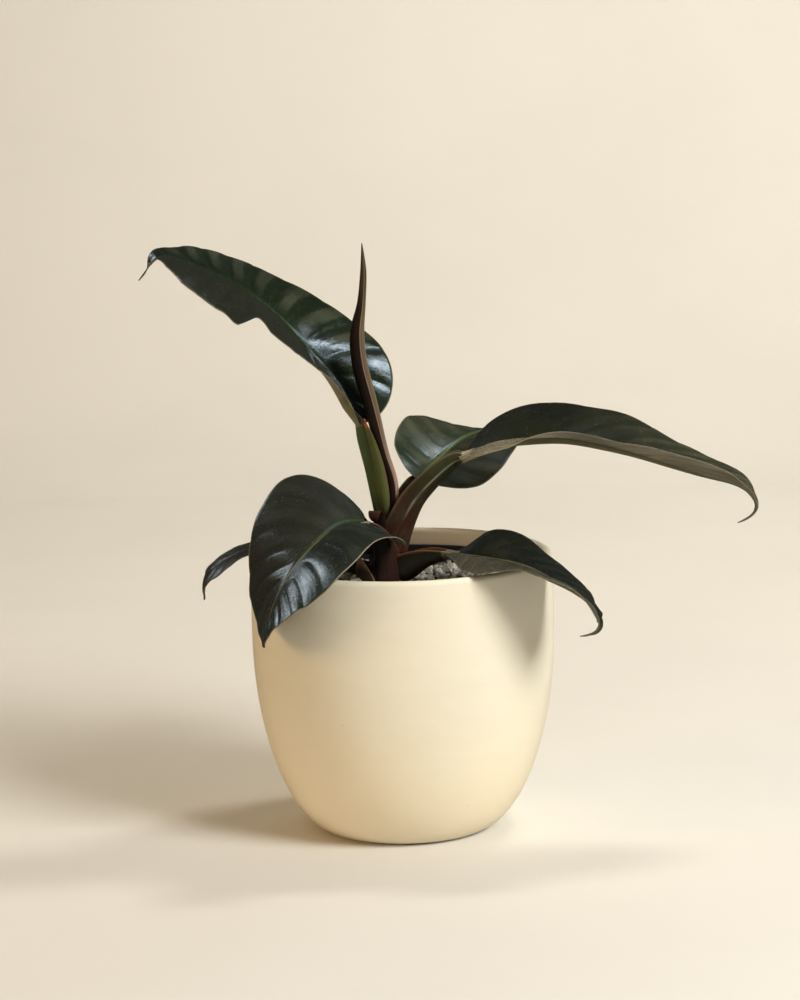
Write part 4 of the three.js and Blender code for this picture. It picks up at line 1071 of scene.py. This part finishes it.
# Each blade row is x, y, z of the midrib, then lift, curl and reach of the left and right halves.
# Each stalk row is x, y, z, width, depth and channel.
leaves = {
    "leaf_upper_left": {
        "heading": 182,
        "halfWidth": 35,
        "lobe": 0.26,
        "ripple": 0.5,
        "ripples": 3,
        "pillow": 0.85,
        "veins": 13,
        "nicks": [(-1, 0.425, 0.38, 0.06, 0.007), (-1, 0.441, -0.2, 0.007, 0.035)],
        "veinLean": -0.04,
        "groove": 0.2,
        "blade": [
            (-21, 4, 218, 8, -15, 0.87, 90, -10, 0.9),
            (-33, 8, 239.5, 7, -13, 0.93, 69, -14, 1.06),
            (-45.5, 10.5, 254.5, 2, -12, 1.01, 50, -15, 1.04),
            (-60, 10.5, 271, -5, -12, 1.04, 32, -16, 1.03),
            (-75, 8.5, 284.5, -18, -16, 1.05, 24, -15, 1.02),
            (-90, 6, 295, -20, -16, 1.05, 19, -13, 1.01),
            (-106, 3, 302.5, -13, -14, 1.03, 13, -13, 0.99),
            (-121.5, 0, 306.5, -2, -13, 1, 3, -14, 0.94),
            (-133, -2, 294, 6, -12, 1, -4, -14, 0.94),
        ],
        "stalk": [
            (-8, 1, 158, 13, 8, 0.5),
            (-11, 3, 176, 10, 8.5, 0.5),
            (-14.3, 4.3, 192, 8, 8, 0.5),
            (-18, 5, 207, 7, 7.5, 0.35),
            (-20, 5.4, 215.5, 6, 5.5, 0.1),
        ],
        "look": {
            "top": (0.005, 0.011, 0.0035), "topTint": (0.011, 0.018, 0.006), "dust": 0.25,
            "rib": (0.025, 0.05, 0.013), "ribWidth": 1.7, "ribStrength": 0.6, "nearSide": -1,
            "nearHalfToneAndSheen": (0.02, 0.02, 0.015), "nearStrength": 0.85, "paleStripeAndSheen": (0.06, 0.068, 0.044),
            "stripeStrength": 0.75, "stripeRise": (0.1, 0.3), "stripeFall": (0.9, 0.6), "stripeWeak": 0.0,
            "stripeSide": 1, "tip": (0.05, 0.038, 0.02), "under": (0.2, 0.18, 0.12),
            "underTint": (0.26, 0.235, 0.165), "underBase": (0.27, 0.245, 0.17),
        },
        "stalkLook": {
            "low": (0.085, 0.08, 0.04), "high": (0.075, 0.135, 0.05), "line": (0.13, 0.18, 0.07),
            "tint": (0.06, 0.06, 0.025), "turnLow": 0.0, "turnHigh": 0.3, "wing": (0.09, 0.03, 0.025),
            "rib": (0.24, 0.22, 0.15),
        },
    },
    "leaf_right": {
        "heading": -6,
        "stalkHeading": -24,
        "halfWidth": 32.9,
        "lobe": 1,
        "ripple": 0.5,
        "ripples": 3,
        "pillow": 0.38,
        "veins": 13,
        "hook": (2.6, 0, -2.6),
        "blade": [
            (35, -7.8, 200.4, -12, -19, 0.94, -5, -13, 0.3),
            (51, -10, 206.5, 5, -17, 0.96, 1, -14, 0.9),
            (68.5, -10.5, 207.8, 28, -12, 1.03, 9, -14, 1.08),
            (86.5, -14.5, 208, 31, -13, 0.99, 19, -13, 1.08),
            (104.5, -17.3, 204.5, 33, -13, 1.01, 21, -15, 1.06),
            (122.4, -19.5, 199.8, 28, -15, 1, 26, -14, 1.06),
            (140.4, -20, 193.6, 26, -14, 1.01, 29, -12, 1.08),
            (158.4, -20, 187.5, 26, -13, 1.02, 24, -12, 1.06),
            (175, -20, 182.5, 22, -16, 0.84, 10, -16, 0.84),
            (183.5, -18.5, 174.3, 30, -14, 0.4, 20, -14, 0.4),
            (175.5, -18.5, 161.8, 40, -7, 0.6, 30, -10, 0.6),
        ],
        "stalk": [
            (-4, -1, 150, 21, 15, 0.72),
            (1, -2, 163, 18, 13, 0.72),
            (8, -3, 177, 14, 12, 0.66),
            (20, -5, 190, 12, 10.5, 0.55),
            (29, -6.5, 197, 9, 8, 0.3),
            (34, -7, 198, 6.5, 5.5, 0.1),
        ],
        "veinLean": 0.15,
        "look": {
            "top": (0.006, 0.008, 0.0045), "topTint": (0.016, 0.018, 0.009), "dust": 0.9,
            "paleStripeAndSheen": (0.075, 0.075, 0.047), "stripeStrength": 0.95, "stripeRise": (0.25, 0.7),
            "stripeFill": 0.5, "stripeFall": (1.0, 0.95), "ribStrength": 0.1, "nearHalfToneAndSheen": (0.42, 0.38, 0.27),
            "nearStrength": 0.95, "nearFall": (0.36, 0.2), "edge": (0.3, 0.27, 0.19),
            "tip": (0.1, 0.09, 0.06), "under": (0.15, 0.137, 0.09), "underTint": (0.27, 0.245, 0.17),
            "underStreak": (0.075, 0.065, 0.04), "underBase": (0.6, 0.55, 0.4),
        },
        "stalkLook": {
            "low": (0.042, 0.012, 0.008), "high": (0.028, 0.042, 0.013), "line": (0.05, 0.046, 0.022),
            "wing": (0.18, 0.12, 0.09), "wingStrength": 0.8, "turnLow": 0.2, "turnHigh": 0.65,
            "joint": 1.0, "shine": 0.8, "paintedGlintStrength": 0.75,
        },
    },
    "leaf_back": {
        "heading": 52,
        "halfWidth": 28.8,
        "lobe": 0.29,
        "ripple": 0.4,
        "ripples": 2,
        "pillow": 0.42,
        "veins": 10,
        "blade": [
            (11, 14.5, 185.3, 67, -13, 0.88, -4, -12, 0.95),
            (19.2, 27, 190.6, 52, -12, 0.9, -12, -15, 0.99),
            (28.6, 36.5, 197.4, 37, -11, 1.01, -14, -16, 1.04),
            (37.7, 48, 201.7, 19, -12, 1.02, -9, -15, 0.96),
            (47, 61, 202.5, 4, -14, 1.01, -3, -14, 0.93),
            (56, 74.5, 200, -4, -14, 1.01, 2, -14, 0.92),
            (63.5, 87, 195.5, -7, -14, 1, 8, -14, 0.95),
            (69, 97, 189, -9, -14, 1, 12, -14, 0.98),
        ],
        "stalk": [
            (-5, 6, 148, 15, 9, 0.6),
            (-3, 10, 160, 11, 9, 0.55),
            (2, 12, 172, 9, 8, 0.5),
            (7, 13.5, 180, 7.5, 7, 0.3),
            (10, 14, 183, 6, 5.5, 0.1),
        ],
        "look": {
            "top": (0.014, 0.027, 0.012), "topTint": (0.052, 0.052, 0.028), "dust": 1.2, "satin": 0.12,
            "satinFall": (0.9, 0.4), "paleStripeAndSheen": (0.085, 0.085, 0.05), "rib": (0.08, 0.14, 0.035),
            "ribStrength": 0.7, "stripeRise": (0.0, 0.1), "stripeStrength": 0.45, "nearStrength": 0.2,
            "stripeWeak": 1.0,
        },
        "stalkLook": {},
    },
    "leaf_front_left": {
        "heading": 205,
        "stalkHeading": 268,
        "halfWidth": 42.5,
        "lobe": 0.16,
        "ripple": 0.4,
        "ripples": 2,
        "pillow": 0.6,
        "veins": 11,
        "blade": [
            (-19.6, -15.5, 167, -12, -17, 1.27, 32, -15, 1.28),
            (-30.2, -31.5, 169, -16, -21, 0.92, 33, -12, 1.28),
            (-40.4, -43.5, 164, -2, -15, 0.85, 27, -12, 1.06),
            (-50, -54, 156.3, 2, -14, 0.98, 13, -14, 0.9),
            (-57.2, -61, 148, 4, -14, 1.03, -1, -15, 0.88),
            (-62.3, -66, 140.3, 10, -14, 1.02, -14, -16, 0.88),
            (-66, -71.5, 132.2, 16, -14, 1.02, -21, -16, 0.88),
            (-68.5, -77, 124.3, 25, -13, 1, -24, -15, 0.89),
            (-70, -81, 116, 33, -13, 1, -24, -13, 0.93),
        ],
        "stalk": [
            (-8.5, -11.5, 128, 17, 9, 0.5),
            (-8.5, -12.5, 142, 16, 9, 0.5),
            (-10.5, -13, 154, 12.5, 8, 0.45),
            (-14.5, -13.5, 161, 9, 7, 0.3),
            (-18.8, -14.6, 164.6, 6.5, 5.5, 0.1),
        ],
        "look": {
            "dust": 1.6, "rib": (0.045, 0.07, 0.024), "ribWidth": 1.7, "ribStrength": 0.5,
            "edgeStrength": 0.7, "edge": (0.3, 0.27, 0.2), "satin": 0.16, "satinFall": (0.4, 0.12),
            "top": (0.006, 0.009, 0.0065), "topTint": (0.019, 0.03, 0.023), "nearHalfToneAndSheen": (0.04, 0.036, 0.027),
            "paleStripeAndSheen": (0.045, 0.05, 0.042), "stripeRise": (0.0, 0.05), "stripeFall": (0.6, 0.3),
            "stripeStrength": 0.35, "tip": (0.02, 0.014, 0.011), "nearStrength": 0.5, "stripeWeak": 1.0,
        },
        "stalkLook": {
            "low": (0.024, 0.01, 0.008), "high": (0.02, 0.013, 0.008), "line": (0.04, 0.022, 0.014),
            "tint": (0.04, 0.012, 0.01),
        },
    },
    "leaf_low_right": {
        "heading": -40,
        "halfWidth": 29,
        "lobe": 0.57,
        "ripple": 0.4,
        "ripples": 2,
        "pillow": 0.38,
        "hook": (2.4, 0, -2.8),
        "veins": 11,
        "blade": [
            (26.3, -26, 151.1, -9, -16, 0.72, 5, -16, 0.25),
            (36, -35, 151.3, 16, -10, 0.93, 9, -14, 0.53),
            (45.6, -41, 150.6, 22, -9, 1, 6, -16, 0.82),
            (55.5, -48, 149.8, 9, -14, 0.96, 7, -16, 1.05),
            (65.4, -55, 147.5, -1, -15, 0.97, 20, -13, 1.04),
            (75, -62.5, 143.6, -8, -13, 1.02, 27, -13, 1),
            (85.3, -68, 139, -20, -15, 1.04, 32, -14, 0.98),
            (94.6, -71, 131.9, -24, -19, 0.95, 28, -17, 0.9),
            (98, -71.5, 124.3, 0, -15, 0.5, 34, -15, 0.45),
            (89, -75.5, 115.8, 24, -8, 0.7, 40, -9, 0.6),
        ],
        "stalk": [
            (-3, -5.5, 137, 17, 14, 0.5),
            (4, -11, 142, 14.5, 14, 0.45),
            (13.5, -18.5, 147.3, 10.5, 9.5, 0.4),
            (24, -25.5, 149.6, 6.5, 5, 0.1),
        ],
        "look": {
            "dust": 0.35, "ribStrength": 0.1, "nearHalfToneAndSheen": (0.11, 0.103, 0.07), "nearStrength": 0.9,
            "paleStripeAndSheen": (0.03, 0.03, 0.02), "tip": (0.1, 0.085, 0.05),
        },
        "stalkLook": {
            "low": (0.02, 0.01, 0.007), "high": (0.022, 0.022, 0.01), "wing": (0.3, 0.12, 0.06),
            "wingStrength": 0.85,
        },
    },
    "leaf_low_left": {
        "heading": 178,
        "halfWidth": 22,
        "lobe": 1,
        "ripple": 0.3,
        "ripples": 2,
        "pillow": 0.5,
        "veins": 9,
        "blade": [
            (-40.5, 4, 145, 14, -14, 1, 4, -15, 1),
            (-53.5, 5, 149.8, 13, -13, 1, 4, -16, 1),
            (-67, 6, 152, 11, -13, 1, 5, -16, 1),
            (-80.5, 7, 149.7, 4, -14, 1, 7, -16, 1),
            (-92, 8, 144.6, -4, -16, 1, 10, -15, 1),
            (-101, 9, 138, -8, -16, 1, 12, -15, 1),
            (-105, 10, 130.5, -8, -16, 1, 15, -14, 1),
            (-105.7, 10, 121.8, -8, -15, 1, 16, -14, 1),
        ],
        "stalk": [
            (-15, 1, 137, 14, 8, 0.5),
            (-24, 2, 139, 9, 7.5, 0.5),
            (-32, 3, 141, 7, 6, 0.3),
            (-39, 4, 142.6, 6, 5, 0.1),
        ],
        "look": {
            "dust": 0.3, "top": (0.018, 0.018, 0.01), "topTint": (0.03, 0.03, 0.017), "satin": 0.1,
            "satinFall": (1.0, 0.9), "stripeStrength": 0.3,
        },
        "stalkLook": {},
    },
}


def makeLeaf(name, leaf):
    points, faces, carried, sides, places, across = makeBlade(leaf)
    stalkPoints, stalkFaces, stalkCarried, stalkPlaces = makeStalk(leaf)
    offset = len(points)
    allFaces = faces + [tuple(offset + i for i in f) for f in stalkFaces]
    slots = [0] * len(faces) + [1] * len(stalkFaces)
    piece = makePiece(name + "_grown", np.vstack([points, stalkPoints]), allFaces, slots)
    addValues(piece, "leafPlace", np.vstack([carried, np.zeros((len(stalkPoints), 3))]))
    addValues(piece, "stalkPlace", np.vstack([np.zeros((offset, 3)), stalkCarried]))
    addValues(piece, "leafSide", np.concatenate([sides, np.zeros(len(stalkPoints))]))
    addValues(piece, "leafAcross", np.concatenate([across, np.zeros(len(stalkPoints))]))
    addValues(piece, "leafAlong", np.concatenate([places, stalkPlaces]))
    look = {**plainLook, **leaf["look"]}
    stalkLook = {**plainStalk, **leaf["stalkLook"]}
    materials = [bladeMaterial(name + "Blade", look), stalkMaterial(name + "Stalk", stalkLook)]
    placePiece(piece, materials, "leaf", name)


for leafName, leafFacts in leaves.items():
    makeLeaf(leafName, leafFacts)

makeGrit()


# New leaf, still rolled round itself; rows are x, y, z and diameter

rolled = {
    "rows": [
        (-7, -0.5, 156, 7),
        (-3.5, -1, 181, 7),
        (-8.5, -1, 202, 7),
        (-14, -1, 226, 8.6),
        (-19, -1, 247, 9.2),
        (-20, -1, 264, 8.4),
        (-17.5, -0.5, 280, 5),
        (-16.2, 0, 296, 3.6),
        (-16.7, 1, 310.5, 0.6),
    ],
    "rings": 220,
    "sides": 60,
    "marginAngle": 154,
    "marginTwist": 12,
    "marginStep": 0.2,
    "pale": (0.15, 0.115, 0.074),
    "middle": (0.055, 0.033, 0.02),
    "pink": (0.42, 0.26, 0.2),
    "dark": (0.018, 0.009, 0.006),
    # dark: partly the leaf's own deeper purple, partly painted shade on one side of the roll
    "tip": (0.052, 0.042, 0.02),
    "line": (0.1, 0.05, 0.035),
    "lap": (0.3, 0.2, 0.14),
}


def rolledMaterial():
    material, tree, shader = newMaterial("rolledLeaf", **{"Specular IOR Level": 0.5})
    turn, height, lap = splitVector(tree, attribute(tree, "rollPlace", "Vector"))[:3]
    line = noise(tree, flatVector(tree, turn, 9.0, height, 1.6), 2.4, 5.0, 0.6)
    middle = times(tree, between(tree, turn, 0.86, 0.98), between(tree, height, 0.1, 0.4, 0.0, 0.55))
    # partly the leaf's own deeper colour, partly painted shade: one side of the roll darker, less so near
    # the tip
    shade = between(tree, plus(tree, turn, times(tree, line, 0.14)), 0.5, 0.3)
    colour = layered(
        tree, rolled["pink"],
        (between(tree, height, 0.02, 0.4), rolled["pale"]),
        (between(tree, height, 0.62, 0.9), rolled["tip"]),
        (between(tree, line, 0.38, 0.7, 0.0, 0.6), rolled["line"]),
        (middle, rolled["middle"]),
        (times(tree, shade, between(tree, height, 0.92, 0.7, 0.25, 1.0)), rolled["dark"]),
        (between(tree, lap, 0.4, 0.9, 0.0, 0.7), rolled["lap"]))
    paint(tree, shader, colour, between(tree, line, 0.3, 0.7, 0.32, 0.5))
    bumpInto(tree, shader, line, 0.4, 0.0005)
    return material


def makeRolledLeaf():
    t = np.linspace(0, 1, rolled["rings"])
    at, forward, side, up = frameAlong(rolled["rows"], t, 180)
    radius = along(rolled["rows"], t)[:, 3] / 2
    turn = np.linspace(0, 1, rolled["sides"])
    angle = np.radians(rolled["marginAngle"] + rolled["marginTwist"] * t[:, None] + 360 * turn[None, :])
    shrink = 1 - rolled["marginStep"] * turn[None, :] ** 1.2
    r = radius[:, None] * shrink
    lift = 1 + 0.05 * np.exp(-((turn[None, :] / 0.03) ** 2))
    points = at[:, None] + side[:, None] * (r * lift * np.cos(angle))[..., None]
    points = points + up[:, None] * (r * lift * np.sin(angle))[..., None]
    count = rolled["sides"]
    piece = makePiece("new_leaf_rolled", points.reshape(-1, 3), closedTube(rolled["rings"], count))
    lap = np.exp(-((turn / 0.025) ** 2))
    repeated = [np.repeat(row[None, :], len(t), axis=0) for row in (turn, lap)]
    carried = np.stack([repeated[0], np.repeat(t[:, None], count, 1), repeated[1]], axis=-1)
    addValues(piece, "rollPlace", carried.reshape(-1, 3))
    placePiece(piece, [rolledMaterial()], "new_leaf", "new_leaf")


makeRolledLeaf()


# Sheath leaves at the crown; rows are x, y, z, radius of the wrap and half its opening angle

sheaths = {
    "sheath_upper": {
        "facing": 205,
        "rows": [
            (-6, -1, 160, 2.5, 60),
            (-6, -1, 170, 3.8, 70),
            (-6.5, -1, 180, 4.9, 76),
            (-8, -1, 192, 4.9, 72),
            (-10, -1, 203, 4.8, 60),
            (-12, -1, 212, 4.7, 40),
            (-13.5, -1, 219, 4.9, 10),
        ],
        "low": (0.1, 0.125, 0.045),
        "high": (0.6, 0.2, 0.09),
        "edge": (0.14, 0.04, 0.03),
        "turnLow": 0.84,
        "turnHigh": 0.97,
    },
    "sheath_collar": {
        "facing": 200,
        "rows": [
            (-9, 1, 148, 12.5, 62),
            (-9.5, 1, 155, 12.3, 60),
            (-10, 1, 162, 12, 48),
            (-11.5, 1, 168, 11.5, 30),
            (-12.5, 1, 171.5, 12.6, 12),
        ],
        "low": (0.03, 0.012, 0.01),
        "high": (0.07, 0.022, 0.016),
        "edge": (0.12, 0.03, 0.025),
        "turnLow": 0.3,
        "turnHigh": 1.0,
    },
    "collar_curl": {
        "facing": 250,
        "added": True,
        "rows": [
            (-7, -1, 150, 9.5, 24),
            (-7.2, -1.2, 158, 9.8, 23),
            (-7.5, -1.5, 164.5, 10.1, 21),
            (-7.9, -1.8, 168.6, 10.7, 19),
            (-8.3, -2, 171, 11.8, 17),
            (-8.6, -2, 171.9, 13.1, 15),
            (-8.8, -2, 171, 14.4, 13),
            (-8.8, -2, 168.6, 15, 10),
            (-8.7, -2, 166.6, 14.3, 6),
        ],
        "low": (0.02, 0.009, 0.007),
        "high": (0.042, 0.016, 0.012),
        "edge": (0.075, 0.02, 0.018),
        "turnLow": 0.3,
        "turnHigh": 0.8,
    },
    "sheath_tip": {
        "facing": 226,
        "rows": [
            (-12, -4, 133, 12, 38),
            (-13, -5, 138, 11.5, 32),
            (-14.5, -6.5, 143, 10, 22),
            (-16, -7.5, 147, 8.5, 9),
        ],
        "low": (0.045, 0.02, 0.01),
        "high": (0.6, 0.4, 0.24),
        "edge": (0.4, 0.26, 0.15),
        "turnLow": 0.45,
        "turnHigh": 0.95,
    },
}
sheathForm = {"rows": 44, "steps": 28, "thickness": 0.5, "ribs": 9, "ribHeight": 0.1,
              "line": (0.03, 0.015, 0.01)}


def sheathMaterial(name, sheath):
    material, tree, shader = newMaterial(name, **{"Specular IOR Level": 0.4})
    across, height, edge = splitVector(tree, attribute(tree, "sheathPlace", "Vector"))[:3]
    line = noise(tree, flatVector(tree, across, 6.0, height, 1.2), 2.6, 5.0, 0.65)
    shifted = plus(tree, height, times(tree, calc(tree, "SUBTRACT", line, 0.5), 0.5))
    colour = layered(
        tree, sheath["low"],
        (times(tree, edge, 0.6), sheath["edge"]),
        (between(tree, shifted, sheath["turnLow"], sheath["turnHigh"]), sheath["high"]),
        (between(tree, line, 0.5, 0.75, 0.0, 0.5), sheathForm["line"]))
    paint(tree, shader, colour, between(tree, line, 0.3, 0.7, 0.42, 0.65))
    bumpInto(tree, shader, line, 0.5, 0.0004)
    return material


def makeSheath(name, sheath):
    rows, steps, thick = sheathForm["rows"], sheathForm["steps"], sheathForm["thickness"]
    t = np.linspace(0, 1, rows)
    x, y, z, radius, opening = along(sheath["rows"], t).T[:, :, None]
    share = np.linspace(-1, 1, steps + 1)[None, :]
    angle = math.radians(sheath["facing"]) + np.radians(np.maximum(opening, 1)) * share
    ribs = sheathForm["ribHeight"] * np.cos(sheathForm["ribs"] * np.pi * share) * (1 - share**2)
    edge = thick * (0.5 - 0.32 * share**4)
    rings = []
    for offset in (edge, -edge):
        r = radius + ribs + offset
        rings.append(np.stack([x + r * np.cos(angle), y + r * np.sin(angle), z + 0 * r], axis=-1))
    loops = np.concatenate([rings[0], rings[1][:, ::-1]], axis=1)
    count = loops.shape[1]
    faces = tubeFaces(rows, count).tolist()
    cap = [(k + 1, k, count - 1 - k, count - 2 - k) for k in range(steps)]
    last = (rows - 1) * count
    faces += cap + [tuple(last + i for i in f[::-1]) for f in cap]
    piece = makePiece(name if sheath.get("added") else name + "_grown", loops.reshape(-1, 3), faces)
    across = np.concatenate([share, share[:, ::-1]], axis=1)
    across = np.repeat(across, rows, axis=0)
    heights = np.repeat(t[:, None], count, axis=1)
    edges = smoothStep(np.abs(across), 0.86, 1.0)
    addValues(piece, "sheathPlace", np.stack([across, heights, edges], axis=-1).reshape(-1, 3))
    replaced = [] if sheath.get("added") else [name]
    placePiece(piece, [sheathMaterial(name + "Skin", sheath)], "sheath", *replaced)


for sheathName, sheathFacts in sheaths.items():
    makeSheath(sheathName, sheathFacts)


# Stem, which stays as the frame has it, hidden among the stalks

stemLook = {"dark": (0.02, 0.01, 0.008), "ring": (0.06, 0.028, 0.02)}


def stemMaterial():
    material, tree, shader = newMaterial("stemBark", Roughness=0.6)
    rings = noise(tree, objectPlace(tree, (1, 1, 6)), 90.0, 5.0)
    colour = mixColours(tree, between(tree, rings, 0.35, 0.65), stemLook["dark"], stemLook["ring"])
    paint(tree, shader, colour)
    bumpInto(tree, shader, rings, 0.5, 0.0008)
    return material


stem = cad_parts["stem"]
stem.data.materials.clear()
stem.data.materials.append(stemMaterial())
